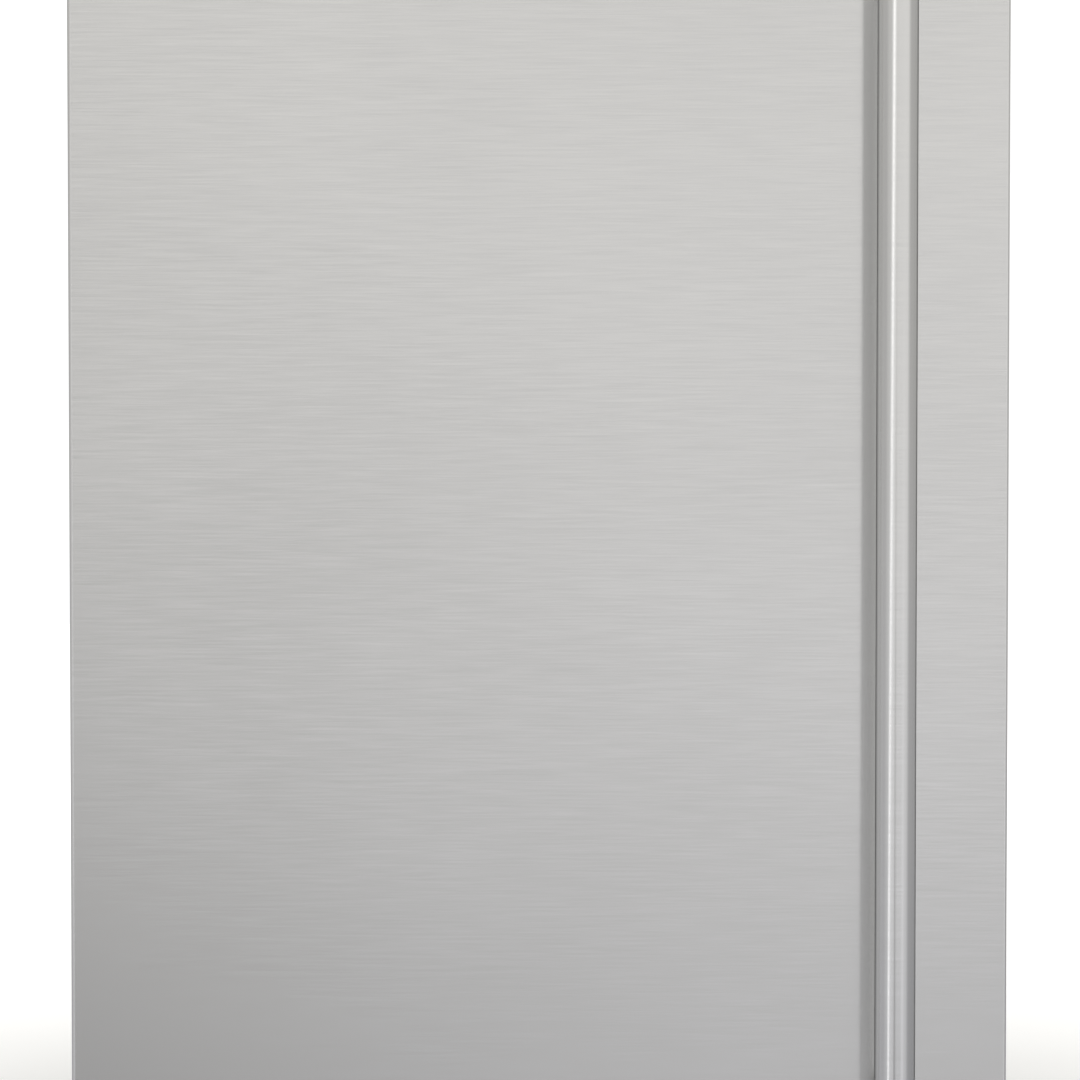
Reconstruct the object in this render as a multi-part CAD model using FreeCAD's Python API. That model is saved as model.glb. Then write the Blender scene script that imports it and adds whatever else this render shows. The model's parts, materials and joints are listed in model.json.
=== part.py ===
"""Undercounter refrigerator with a full-length tube handle.

A stainless steel cabinet with a foamed wall round a moulded plastic liner, closed by one door
that swings on two pins at its left edge. The refrigeration unit stands in a bay behind a step
in the liner, and breathes through the grille under the door. Three wire shelves rest on ledges.

Frame: +Z up, the door faces -Y, and the origin is on the floor under the middle of the whole
object. All lengths are in millimetres. Each function makes one node or a few like nodes.
"""
import FreeCAD
import Part
import math
import os

V = FreeCAD.Vector
X, Y, Z = V(1, 0, 0), V(0, 1, 0), V(0, 0, 1)

# Driving dimensions
WIDTH = 598.0
HEIGHT = 864.0
CABINET_DEPTH = 515.0
SPACER_DEPTH = 12.0
GASKET_GAP = 10.0
DOOR_THICKNESS = 50.0
HANDLE_RADIUS = 12.7
HANDLE_STANDOFF = 48.0          # from the door's face to the handle's axis
HANDLE_INSET = 76.4             # from the door's right edge to the handle's axis
HANDLE_LENGTH = 734.0
HINGE_COVER_HEIGHT = 12.0
TOE_HEIGHT = 92.0               # underside of the insulated cabinet
TOE_RECESS = 20.0
GROUND_CLEARANCE = 25.0         # underside of the base pan
WALL = 45.0                     # insulated side, top and floor
REAR_WALL = 50.0
BAY_DEPTH = 200.0               # machine bay
BAY_TOP = 300.0
SHEET = 0.8
HEAVY_SHEET = 1.2
LINER = 2.0
FLANGE = 37.0                   # steel face round the cabinet's mouth, where the gasket seats
FIT = 0.3                       # clearance between bodies
RUNNING = 0.06                  # radial clearance of a shaft in its bore

# Planes worked out from them
DEPTH = (CABINET_DEPTH + SPACER_DEPTH + GASKET_GAP + DOOR_THICKNESS
         + HANDLE_STANDOFF + HANDLE_RADIUS)
SIDE = WIDTH / 2
HANDLE_Y = -DEPTH / 2 + HANDLE_RADIUS
DOOR_FRONT = HANDLE_Y + HANDLE_STANDOFF
DOOR_BACK = DOOR_FRONT + DOOR_THICKNESS
FRONT = DOOR_BACK + GASKET_GAP
BACK = FRONT + CABINET_DEPTH
TOP = HEIGHT - HINGE_COVER_HEIGHT
BAY_FRONT = BACK - BAY_DEPTH

# Cold space inside the liner
CAVITY_X = SIDE - WALL
CAVITY_FLOOR = TOE_HEIGHT + WALL
CAVITY_TOP = TOP - WALL
CAVITY_BACK = BACK - REAR_WALL
STEP_Y = BAY_FRONT - WALL
STEP_Z = BAY_TOP + WALL

# Door
DOOR_BOTTOM = TOE_HEIGHT + 2
DOOR_TOP = TOP - 4
DOOR_MIDDLE = (DOOR_BOTTOM + DOOR_TOP) / 2
SKIN_DEPTH = 46.0
DOOR_CAP = 12.0
PLATEAU = 18.0                  # raised middle of the door's liner
HANDLE_X = SIDE - HANDLE_INSET
POST_RADIUS = 7.0
POST_Z = HANDLE_LENGTH / 2 - 12

# Hinges
PIN_X = -SIDE + 15
PIN_Y = DOOR_FRONT + 22
PIN_RADIUS = 5.0
HINGE_PLATE = 4.0
BUSH_RADIUS = 8.0
BUSH_LENGTH = 10.0
HINGE_BACK = FRONT + 52         # rear edge of both hinge plates
HINGE_SCREWS = [(PIN_X + dx, FRONT + dy) for dx, dy in ((2, 16), (32, 16), (17, 38))]

# Gasket
GASKET_OUT = SIDE + PIN_X       # inset of the gasket's outer edge from the door's edge
GASKET_WIDTH = 18.0

# Shelves
LEDGE_PITCH = 75.0
LEDGE_FIRST = 220.0
LEDGES = [LEDGE_FIRST + i * LEDGE_PITCH for i in range(7)]
LEDGE_REACH = 8.0
LEDGE_THICK = 9.0
SHELVES = {"shelf_bottom": LEDGES[2], "shelf_middle": LEDGES[4], "shelf_top": LEDGES[6]}
SHELF_FRONT = FRONT + 36
FRAME_ROD = 3.0                 # radii of the shelf's wires
CROSS_ROD = 2.5
FINE_ROD = 1.6

# Cold-air unit on the liner's back wall
UNIT_DEPTH = 52.0
UNIT_FRONT = CAVITY_BACK - UNIT_DEPTH
UNIT_HALF = 220.0
UNIT_BOTTOM = 420.0
UNIT_TOP = 795.0
UNIT_WALL = 2.5
FAN_Z = 722.0
FAN_OPENING = 58.0
SHELF_BACK = UNIT_FRONT - 7

# Control housing under the ceiling
CONTROL_HALF = 130.0
CONTROL_FRONT = FRONT + 30
CONTROL_BACK = FRONT + 145
CONTROL_BOTTOM = CAVITY_TOP - 40
CONTROL_Z = CAVITY_TOP - 21
KNOB_X = -82.0
PLUNGER_X = 92.0
PLUNGER_RADIUS = 4.0
LENS_HALF = 55.0
LENS_FRONT = CONTROL_FRONT + 30
LENS_BACK = CONTROL_FRONT + 80

# Refrigeration unit
COMPRESSOR = V(150, BACK - 102, 0)
SHELL_RADIUS = 72.0
SHELL_WALL = 3.2
GROMMET_HEIGHT = 16.0
MOUNT_X, MOUNT_Y = 78.0, 48.0   # compressor bolts from its axis
PAN_TOP = GROUND_CLEARANCE + HEAVY_SHEET
SHELL_BOTTOM = PAN_TOP + GROMMET_HEIGHT + 3
SHELL_SEAM = SHELL_BOTTOM + 80
SHELL_TOP = SHELL_BOTTOM + 160
COIL_PITCH = 25.0
COIL_PASSES = 8
CONDENSER = V(-155, BAY_FRONT + 36, 140)
EVAPORATOR = V(0, CAVITY_BACK - 24, 540)
CONDENSER_HALF = 92.0
EVAPORATOR_HALF = 182.0
BLOWER_RADIUS = 70.0            # condenser fan
DRIER = V(0, CONDENSER.y, 78)
SUCTION_Z = 110.0               # suction tube into the compressor, below its weld seam
REAR_RUN = BACK - 24            # tubes inside the rear wall's foam
DRAIN = V(10, CAVITY_BACK - 16, 0)

# Feet
FOOT_X = SIDE - 39
FOOT_Y = {"front": FRONT + 62, "rear": BACK - 45}
FOOT_HEIGHT = 12.0
STUD_RADIUS = 5.0
STUD_TOP = 47.0

# Grille, rear cover and their screws
GRILLE_Y = FRONT + TOE_RECESS
GRILLE_BOTTOM, GRILLE_TOP = 14.0, 84.0
GRILLE_SCREWS = (-280, 280)
COVER_BOTTOM = 50.0
SCREW_RADIUS = 2.0
SCREW_HEAD = 3.8
BRACKET_SPACING = 440.0         # anti-tip bracket's two holes
BRACKET_HOLE = 3.25
INLET = V(-225, BACK, 92)       # middle of the mains inlet on the rear cover


# Building blocks

def box(x0, x1, y0, y1, z0, z1):
    """A block between two corners."""
    return Part.makeBox(x1 - x0, y1 - y0, z1 - z0, V(x0, y0, z0))


def rod(start, end, radius):
    """A round bar from one point to another."""
    run = end - start
    return Part.makeCylinder(radius, run.Length, start, run)


def corner_edges(points, radii, closed):
    """Straight runs through the points, joined by tangent arcs of the radius at each point."""
    count = len(points)
    starts, middles, ends = [], [], []
    for i, (point, radius) in enumerate(zip(points, radii)):
        if radius <= 0 or (not closed and i in (0, count - 1)):
            starts.append(point)
            middles.append(None)
            ends.append(point)
            continue
        before = (points[i - 1] - point).normalize()
        after = (points[(i + 1) % count] - point).normalize()
        half = before.getAngle(after) / 2
        reach = radius / math.tan(half)
        starts.append(point + before * reach)
        ends.append(point + after * reach)
        toward = (before + after).normalize()
        middles.append(point + toward * (radius / math.sin(half) - radius))
    edges = []
    for i in range(count):
        if middles[i] is not None:
            edges.append(Part.Arc(starts[i], middles[i], ends[i]).toShape())
        if closed or i < count - 1:
            to = starts[(i + 1) % count]
            if ends[i].distanceToPoint(to) > 1e-6:
                edges.append(Part.LineSegment(ends[i], to).toShape())
    return edges


def prism(points, radii, along):
    """A closed outline with rounded corners, pushed along a vector."""
    if not isinstance(radii, (list, tuple)):
        radii = [radii] * len(points)
    wire = Part.Wire(corner_edges(points, radii, True))
    return Part.Face(wire).extrude(along)


def folded_sheet(spine, thickness, bend, along):
    """Sheet metal: the outer side's open outline, its thickness to the left, its outer bend radius."""
    normal = (spine[1] - spine[0]).cross(spine[2] - spine[1]).normalize()
    inner = []
    for i, point in enumerate(spine):
        sides = []
        if i > 0:
            sides.append(normal.cross((point - spine[i - 1]).normalize()))
        if i < len(spine) - 1:
            sides.append(normal.cross((spine[i + 1] - point).normalize()))
        toward = sides[0] + sides[-1]
        inner.append(point + toward * (2 * thickness / toward.dot(toward)))
    radii = [0] + [bend] * (len(spine) - 2) + [0]
    tight = [0] + [max(bend - thickness, 0.2)] * (len(spine) - 2) + [0]
    return prism(spine + inner[::-1], radii + tight, along)


def bent_tube(points, radius, bend):
    """A round tube along straight runs joined by arcs of one radius."""
    path = Part.Wire(corner_edges(points, [bend] * len(points), False))
    run = points[1] - points[0]
    ring = Part.Wire(Part.makeCircle(radius, points[0], run))
    return path.makePipeShell([ring], True, False)


def fuse(*shapes):
    """One solid from touching shapes."""
    made = shapes[0].fuse(list(shapes[1:]))
    return made.removeSplitter()


def ring_box(outer_x, z0, z1, width, y0, y1):
    """A rectangular ring that stands in the XZ plane, symmetric in X."""
    inside = box(-outer_x + width, outer_x - width, y0, y1, z0 + width, z1 - width)
    return box(-outer_x, outer_x, y0, y1, z0, z1).cut(inside)


def mirrored_x(shape):
    """The shape's mirror image across the middle plane."""
    return shape.mirror(V(0, 0, 0), X)


# Cabinet

def side_panel():
    """Right side of the cabinet: one sheet, folded in at the front and back, notched at the toe."""
    y0, y1 = FRONT, BACK
    spine = [V(SIDE - 16, y1, 0), V(SIDE, y1, 0), V(SIDE, y0, 0), V(SIDE - FLANGE, y0, 0)]
    for point in spine:
        point.z = GROUND_CLEARANCE
    panel = folded_sheet(spine[::-1], SHEET, 1.6, Z * (TOP - SHEET - GROUND_CLEARANCE))
    notch = box(0, SIDE + 1, y0 - 1, y0 + TOE_RECESS, 0, TOE_HEIGHT)
    return panel.cut(notch)


def top_panel():
    """Flat top with a face flange down the front and a short flange at the back."""
    inner = SIDE - FLANGE
    plate = box(-SIDE, SIDE, FRONT, BACK, TOP - SHEET, TOP)
    face = box(-inner, inner, FRONT, FRONT + SHEET, TOP - FLANGE, TOP - SHEET)
    tail = box(-SIDE + 16, SIDE - 16, BACK - SHEET, BACK, TOP - 16, TOP - SHEET)
    panel = fuse(plate, face, tail)
    edge = [e for e in panel.Edges
            if abs(e.BoundBox.YMin - FRONT) < 1e-3 and abs(e.BoundBox.YMax - FRONT) < 1e-3
            and abs(e.BoundBox.ZMin - TOP) < 1e-3 and e.Length > WIDTH / 2]
    return panel.makeFillet(0.7, edge)


def bottom_panel():
    """Underside of the insulation: face flange, floor, the bay's front wall and its ceiling."""
    inner = SIDE - FLANGE
    spine = [V(0, BACK - 2 * SHEET, BAY_TOP), V(0, BAY_FRONT, BAY_TOP),
             V(0, BAY_FRONT, TOE_HEIGHT), V(0, FRONT + SHEET, TOE_HEIGHT)]
    outline = [V(-SIDE + SHEET, p.y, p.z) for p in spine]
    lower = [V(-SIDE + SHEET, BACK - 2 * SHEET, BAY_TOP + SHEET),
             V(-SIDE + SHEET, BAY_FRONT - SHEET, BAY_TOP + SHEET),
             V(-SIDE + SHEET, BAY_FRONT - SHEET, TOE_HEIGHT + SHEET),
             V(-SIDE + SHEET, FRONT + SHEET, TOE_HEIGHT + SHEET)]
    body = prism(outline + lower[::-1], 0, X * (WIDTH - 2 * SHEET))
    for sign in (-1, 1):            # clear of the bend in the side panels
        corner = box(-SHEET, SHEET, FRONT, FRONT + 2 * SHEET, TOE_HEIGHT - 1, TOE_HEIGHT + 2)
        corner.translate(X * sign * (SIDE - SHEET))
        body = body.cut(corner)
    face = box(-inner, inner, FRONT, FRONT + SHEET, TOE_HEIGHT, TOE_HEIGHT + FLANGE)
    return fuse(body, face)


def rear_panel():
    """Flat sheet behind the insulation, inside the side panels' rear flanges, with two beads."""
    y1 = BACK - SHEET
    half = SIDE - 2 * SHEET         # clear of the bend in the side panels
    plate = box(-half, half, y1 - SHEET, y1, BAY_TOP, TOP - SHEET)
    beads = [rod(V(-200, y1 - SHEET, z), V(200, y1 - SHEET, z), 1.6)
             for z in (BAY_TOP + 150, BAY_TOP + 400)]
    behind = box(-SIDE, SIDE, y1 - 10, y1 - SHEET, BAY_TOP, TOP)
    return fuse(plate, *[bead.cut(behind) for bead in beads])


def rear_spacers():
    """Two moulded pads that keep the cabinet's back off the wall."""
    pads = []
    for x in (-190, 190):
        body = box(x - 30, x + 30, BACK - SHEET, BACK + SPACER_DEPTH, TOP - 92, TOP - 52)
        corners = [e for e in body.Edges if abs(e.BoundBox.YMax - e.BoundBox.YMin) > 1]
        body = body.makeFillet(8, corners)
        rim = [e for e in body.Edges if abs(e.BoundBox.YMin - BACK - SPACER_DEPTH) < 1e-3]
        pads.append(body.makeFillet(2.5, rim))
    return Part.makeCompound(pads)


def base_pan():
    """Steel tray between the side panels that carries the feet and the compressor."""
    half, y0, y1 = SIDE - SHEET, GRILLE_Y + HEAVY_SHEET, BACK - SHEET
    low = GROUND_CLEARANCE
    outline = [V(-half, y0, low), V(half, y0, low), V(half, y1, low), V(-half, y1, low)]
    tray = prism(outline, [0, 0, SHEET, SHEET], Z * 22)
    tray = tray.cut(box(-half + HEAVY_SHEET, half - HEAVY_SHEET, y0 + HEAVY_SHEET,
                        y1 - HEAVY_SHEET, PAN_TOP, 100))
    for x in (-BRACKET_SPACING / 2, BRACKET_SPACING / 2):
        tray = tray.cut(rod(V(x, y1 - 5, 38), V(x, y1 + 5, 38), BRACKET_HOLE))
    for x, y in foot_places():
        tray = tray.cut(rod(V(x, y, 0), V(x, y, 60), STUD_RADIUS + 1))
    for x, y in mount_places():
        tray = tray.cut(rod(V(x, y, 0), V(x, y, 60), 4.3))
    return tray


def foot_places():
    return [(sign * FOOT_X, y) for y in FOOT_Y.values() for sign in (-1, 1)]


def mount_places():
    """Where the compressor's four bolts stand."""
    return [(COMPRESSOR.x + i * MOUNT_X, COMPRESSOR.y + j * MOUNT_Y)
            for i in (-1, 1) for j in (-1, 1)]


def foot_nuts():
    """Welded hexagon nuts that the feet screw into."""
    nuts = []
    for x, y in foot_places():
        corners = [V(x + 9.8 * math.cos(math.radians(60 * k)),
                     y + 9.8 * math.sin(math.radians(60 * k)), PAN_TOP) for k in range(6)]
        nut = prism(corners, 0, Z * 9)
        nuts.append(nut.cut(rod(V(x, y, 20), V(x, y, 50), STUD_RADIUS + RUNNING)))
    return Part.makeCompound(nuts)


def foot(x, y):
    """Levelling foot: a round pad with a hexagon above it, moulded on a steel stud."""
    pad = Part.makeCone(19, 16, FOOT_HEIGHT - 5, V(x, y, 0), Z)
    corners = [V(x + 11 * math.cos(math.radians(60 * k)),
                 y + 11 * math.sin(math.radians(60 * k)), FOOT_HEIGHT - 5) for k in range(6)]
    hexagon = prism(corners, 0, Z * 5)
    return fuse(pad, hexagon, rod(V(x, y, FOOT_HEIGHT), V(x, y, STUD_TOP), STUD_RADIUS))


def cavity_block(grow):
    """The cold space's outline with its step, larger by grow, with rounded inside corners."""
    y0, y1, z0, z1 = FRONT, CAVITY_BACK + grow, CAVITY_FLOOR - grow, CAVITY_TOP + grow
    step_y, step_z = STEP_Y + grow, STEP_Z - grow
    half = CAVITY_X + grow
    side = [V(-half, y0, z0), V(-half, step_y, z0), V(-half, step_y, step_z),
            V(-half, y1, step_z), V(-half, y1, z1), V(-half, y0, z1)]
    radius = 12 + grow
    block = prism(side, [0, radius, 14 - grow, radius, radius, 0], X * (2 * half))
    long_edges = [e for e in block.Edges
                  if abs(abs(e.BoundBox.XMin) - half) < 1e-3
                  and abs(e.BoundBox.XMax - e.BoundBox.XMin) < 1e-3
                  and e.BoundBox.YMax > FRONT + 1]
    return block.makeFillet(8 + grow, long_edges)


def ledge(z, y_end):
    """Moulded shelf ledge on the right wall, rounded at its front end."""
    y0 = FRONT + 24
    x0, x1 = CAVITY_X - LEDGE_REACH, CAVITY_X + 1
    points = [V(x0, y0, z - LEDGE_THICK), V(x1, y0, z - LEDGE_THICK),
              V(x1, y_end, z - LEDGE_THICK), V(x0, y_end, z - LEDGE_THICK)]
    return prism(points, [6, 0, 0, 6], Z * LEDGE_THICK)


def inner_liner():
    """Vacuum-formed liner: walls, stepped floor, shelf ledges and the rim round its mouth."""
    wall = cavity_block(LINER).cut(cavity_block(0))
    rim = ring_box(SIDE - FLANGE, TOE_HEIGHT + FLANGE, TOP - FLANGE, 8, FRONT, FRONT + LINER)
    shape = fuse(wall, rim)
    ledges = []
    for z in LEDGES:
        y_end = STEP_Y - 14 if z < STEP_Z else UNIT_FRONT - 10
        right = ledge(z, y_end)
        ledges += [right, mirrored_x(right)]
    shape = fuse(shape, *ledges)
    for hole in liner_holes():
        shape = shape.cut(hole)
    return shape


def liner_holes():
    """Ways through the liner and the foam for the tubes and the drain."""
    lines = [suction_path(), capillary_path()]
    holes = [bent_tube(points, radius + 0.2, 8) for points, radius in lines]
    return holes + [rod(V(DRAIN.x, DRAIN.y, BAY_TOP - 10), V(DRAIN.x, DRAIN.y, STEP_Z + 5), 6.2)]


def cabinet_foam(others):
    """Foamed insulation: all the room between the sheets and the liner."""
    whole = box(-SIDE + SHEET, SIDE - SHEET, FRONT + SHEET, BACK - 2 * SHEET,
                TOE_HEIGHT + SHEET, TOP - SHEET)
    bay = box(-SIDE, SIDE, BAY_FRONT - SHEET, BACK + 1, 0, BAY_TOP + SHEET)
    rim = box(-SIDE + FLANGE, SIDE - FLANGE, FRONT, FRONT + LINER,
              TOE_HEIGHT + FLANGE, TOP - FLANGE)
    foam = whole.cut(bay).cut(cavity_block(LINER)).cut(rim)
    for other in others:
        foam = foam.cut(other)
    return foam


# Hinges

def hinge_screw_holes(z0, z1, radius):
    return [rod(V(x, y, z0), V(x, y, z1), radius) for x, y in HINGE_SCREWS]


def hinge_plate(z):
    """Flat plate from the cabinet's corner out over the pin, with a rounded nose."""
    x0, x1, y0, y1 = PIN_X - 10, PIN_X + 44, PIN_Y - 10, HINGE_BACK
    points = [V(x0, y0, z), V(PIN_X + 10, y0, z), V(x1, FRONT + 4, z), V(x1, y1, z), V(x0, y1, z)]
    plate = prism(points, [9, 9, 6, 5, 5], Z * HINGE_PLATE)
    for hole in hinge_screw_holes(z - 1, z + HINGE_PLATE + 1, 3.2):
        plate = plate.cut(hole)
    return plate


def top_hinge():
    """Upper hinge: plate on the cabinet's top with its pin down into the door."""
    pin = rod(V(PIN_X, PIN_Y, TOP + 1), V(PIN_X, PIN_Y, DOOR_TOP - BUSH_LENGTH), PIN_RADIUS)
    return fuse(hinge_plate(TOP), pin)


def bottom_hinge():
    """Lower hinge: plate under the cabinet's floor with its pin up into the door."""
    z = TOE_HEIGHT - HINGE_PLATE
    pin = rod(V(PIN_X, PIN_Y, z + 1), V(PIN_X, PIN_Y, DOOR_BOTTOM + BUSH_LENGTH), PIN_RADIUS)
    return fuse(hinge_plate(z), pin)


def hinge_screws():
    """Six pan-head screws, three in each hinge plate."""
    screws = []
    for x, y in HINGE_SCREWS:
        for seat, way in ((TOP + HINGE_PLATE, 1), (TOE_HEIGHT - HINGE_PLATE, -1)):
            head = Part.makeCone(6, 4.6, 3, V(x, y, seat), Z * way)
            shank = rod(V(x, y, seat), V(x, y, seat - way * 14), 3)
            slot = box(x - 0.6, x + 0.6, y - 3.4, y + 3.4, seat + way * 3 - 1.2, seat + way * 3 + 1.2)
            cross = box(x - 3.4, x + 3.4, y - 0.6, y + 0.6, seat + way * 3 - 1.2, seat + way * 3 + 1.2)
            screws.append(fuse(head, shank).cut(slot).cut(cross))
    return Part.makeCompound(screws)


def hinge_cover():
    """Moulded cap over the upper hinge plate."""
    x0, x1, y0, y1 = PIN_X - 14, PIN_X + 50, PIN_Y - 15, HINGE_BACK + 6
    outside = prism([V(x0, y0, TOP), V(x1, y0, TOP), V(x1, y1, TOP), V(x0, y1, TOP)],
                    6, Z * HINGE_COVER_HEIGHT)
    rim = [e for e in outside.Edges if abs(e.BoundBox.ZMin - HEIGHT) < 1e-3]
    outside = outside.makeFillet(3, rim)
    inside = prism([V(x0 + 2, y0 + 2, TOP), V(x1 - 2, y0 + 2, TOP),
                    V(x1 - 2, y1 - 2, TOP), V(x0 + 2, y1 - 2, TOP)],
                   4, Z * (HINGE_COVER_HEIGHT - 2.5))
    return outside.cut(inside)


# Door

def door_skin():
    """Stainless outer sheet: face, both edges and narrow returns behind them, open at its ends."""
    y1 = DOOR_FRONT + SKIN_DEPTH
    spine = [V(SIDE - 14, y1, DOOR_BOTTOM), V(SIDE, y1, DOOR_BOTTOM),
             V(SIDE, DOOR_FRONT, DOOR_BOTTOM), V(-SIDE, DOOR_FRONT, DOOR_BOTTOM),
             V(-SIDE, y1, DOOR_BOTTOM), V(-SIDE + 14, y1, DOOR_BOTTOM)]
    skin = folded_sheet(spine[::-1], SHEET, 2.4, Z * (DOOR_TOP - DOOR_BOTTOM))
    for z in (-POST_Z, POST_Z):
        skin = skin.cut(rod(V(HANDLE_X, DOOR_FRONT - 2, DOOR_MIDDLE + z),
                            V(HANDLE_X, DOOR_FRONT + 3, DOOR_MIDDLE + z), 3.2))
    return skin


def door_block(z0, z1, inset):
    """A block that fills the skin between two heights."""
    half, y0, y1 = SIDE - SHEET - inset, DOOR_FRONT + SHEET + inset, DOOR_FRONT + SKIN_DEPTH - SHEET
    points = [V(-half, y0, z0), V(half, y0, z0), V(half, y1, z0), V(-half, y1, z0)]
    return prism(points, 1.6, Z * (z1 - z0))


def bush_hole(z0, z1):
    return rod(V(PIN_X, PIN_Y, z0), V(PIN_X, PIN_Y, z1), BUSH_RADIUS)


def door_end_caps():
    """Moulded caps that close the skin's two ends and hold the hinge bushes."""
    bottom = door_block(DOOR_BOTTOM, DOOR_BOTTOM + DOOR_CAP, 0)
    top = door_block(DOOR_TOP - DOOR_CAP, DOOR_TOP, 0)
    bottom = bottom.cut(bush_hole(DOOR_BOTTOM - 1, DOOR_BOTTOM + DOOR_CAP + 1))
    top = top.cut(bush_hole(DOOR_TOP - DOOR_CAP - 1, DOOR_TOP + 1))
    return Part.makeCompound([bottom, top])


def hinge_bushes():
    """Flanged nylon bushes, one in each end cap."""
    bushes = []
    for z, way in ((DOOR_BOTTOM, 1), (DOOR_TOP, -1)):
        seat = V(PIN_X, PIN_Y, z)
        flange = rod(seat, seat - Z * way * 1.2, BUSH_RADIUS + 2)
        barrel = rod(seat, seat + Z * way * DOOR_CAP, BUSH_RADIUS)
        bore = rod(seat - Z * way * 3, seat + Z * way * (DOOR_CAP + 1), PIN_RADIUS + RUNNING)
        bushes.append(fuse(flange, barrel).cut(bore))
    return Part.makeCompound(bushes)


def plateau(inset, y1):
    """The raised middle of the door's liner, smaller by inset all round."""
    half = CAVITY_X - 10 - inset
    z0, z1 = CAVITY_FLOOR + 10 + inset, CAVITY_TOP - 10 - inset
    points = [V(-half, DOOR_BACK - 4, z0), V(half, DOOR_BACK - 4, z0),
              V(half, DOOR_BACK - 4, z1), V(-half, DOOR_BACK - 4, z1)]
    block = prism(points, 16 - inset, Y * (y1 - DOOR_BACK + 4))
    rim = [e for e in block.Edges if abs(e.BoundBox.YMin - y1) < 1e-3]
    return block.makeFillet(7 - inset / 2, rim)


def door_liner():
    """Moulded inner face of the door: a flat border under the gasket and a raised hollow middle."""
    y0 = DOOR_FRONT + SKIN_DEPTH
    border = box(-SIDE + 2, SIDE - 2, y0, DOOR_BACK, DOOR_BOTTOM + 2, DOOR_TOP - 2)
    raised = plateau(0, DOOR_BACK + PLATEAU)
    hollow = plateau(LINER, DOOR_BACK + PLATEAU - LINER)
    shape = fuse(border, raised).cut(hollow)
    grooves = [box(x - 2.5, x + 2.5, DOOR_BACK + PLATEAU - 0.9, DOOR_BACK + PLATEAU + 1,
                   CAVITY_FLOOR + 50, CAVITY_TOP - 90) for x in (-180, -90, 0, 90, 180)]
    return shape.cut(grooves[0].fuse(grooves[1:]))


def door_foam():
    """Foamed core of the door, from the skin to the raised liner."""
    core = door_block(DOOR_BOTTOM + DOOR_CAP, DOOR_TOP - DOOR_CAP, 0)
    flat = box(-SIDE + 14, SIDE - 14, DOOR_FRONT + 20, DOOR_FRONT + SKIN_DEPTH,
               DOOR_BOTTOM + DOOR_CAP, DOOR_TOP - DOOR_CAP)
    raised = plateau(LINER, DOOR_BACK + PLATEAU - LINER)
    foam = fuse(core, flat, raised)
    for z in (-POST_Z, POST_Z):
        start = V(HANDLE_X, DOOR_FRONT, DOOR_MIDDLE + z)
        foam = foam.cut(rod(start, start + Y * 16, 8))
    return foam


def door_gasket():
    """Magnetic gasket: a base in the liner's border, a narrower bellows and the magnet's pocket."""
    outer = SIDE - GASKET_OUT
    z0, z1 = DOOR_BOTTOM + GASKET_OUT, DOOR_TOP - GASKET_OUT
    back = FRONT - FIT
    base = ring_box(outer, z0, z1, GASKET_WIDTH, DOOR_BACK, DOOR_BACK + 2.4)
    waist = ring_box(outer - 3, z0 + 3, z1 - 3, GASKET_WIDTH - 6, DOOR_BACK + 2.4, back - 3.6)
    magnet = ring_box(outer - 1, z0 + 1, z1 - 1, GASKET_WIDTH - 2, back - 3.6, back)
    return fuse(base, waist, magnet)


def handle_bar():
    """Round stainless tube along nearly the whole door."""
    half = HANDLE_LENGTH / 2 - 3
    low = V(HANDLE_X, HANDLE_Y, DOOR_MIDDLE - half)
    high = V(HANDLE_X, HANDLE_Y, DOOR_MIDDLE + half)
    return rod(low, high, HANDLE_RADIUS).cut(rod(low, high, HANDLE_RADIUS - 1.5))


def handle_end_caps():
    """Flat caps with a turned edge, pressed into the tube's ends."""
    caps = []
    for way in (-1, 1):
        seat = V(HANDLE_X, HANDLE_Y, DOOR_MIDDLE + way * (HANDLE_LENGTH / 2 - 3))
        disc = rod(seat, seat + Z * way * 1.5, HANDLE_RADIUS)
        face = Part.makeCone(HANDLE_RADIUS, HANDLE_RADIUS - 1.5, 1.5, seat + Z * way * 1.5, Z * way)
        plug = rod(seat, seat - Z * way * 4, HANDLE_RADIUS - 1.5)
        caps.append(fuse(disc, face, plug))
    return Part.makeCompound(caps)


def handle_posts():
    """Round posts that hold the tube off the door, saddled to its wall."""
    posts = []
    for z in (-POST_Z, POST_Z):
        foot_end = V(HANDLE_X, DOOR_FRONT, DOOR_MIDDLE + z)
        post = rod(foot_end, V(HANDLE_X, HANDLE_Y, DOOR_MIDDLE + z), POST_RADIUS)
        collar = rod(foot_end, foot_end - Y * 3, POST_RADIUS + 1.5)
        tube = rod(V(HANDLE_X, HANDLE_Y, 0), V(HANDLE_X, HANDLE_Y, HEIGHT), HANDLE_RADIUS)
        thread = rod(foot_end + Y, foot_end - Y * 13, 3)
        posts.append(fuse(post, collar).cut(tube).cut(thread))
    return Part.makeCompound(posts)


def handle_screws():
    """Socket-head screws from inside the door's skin into the posts."""
    screws = []
    for z in (-POST_Z, POST_Z):
        seat = V(HANDLE_X, DOOR_FRONT + SHEET, DOOR_MIDDLE + z)
        washer = rod(seat, seat + Y * 1.6, 7.5)
        head = rod(seat + Y * 1.6, seat + Y * 7.6, 5)
        socket = rod(seat + Y * 4.6, seat + Y * 9, 2.5)
        shank = rod(seat, seat - Y * 12, 3)
        screws.append(fuse(washer, head, shank).cut(socket))
    return Part.makeCompound(screws)


# Shelves

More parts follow.
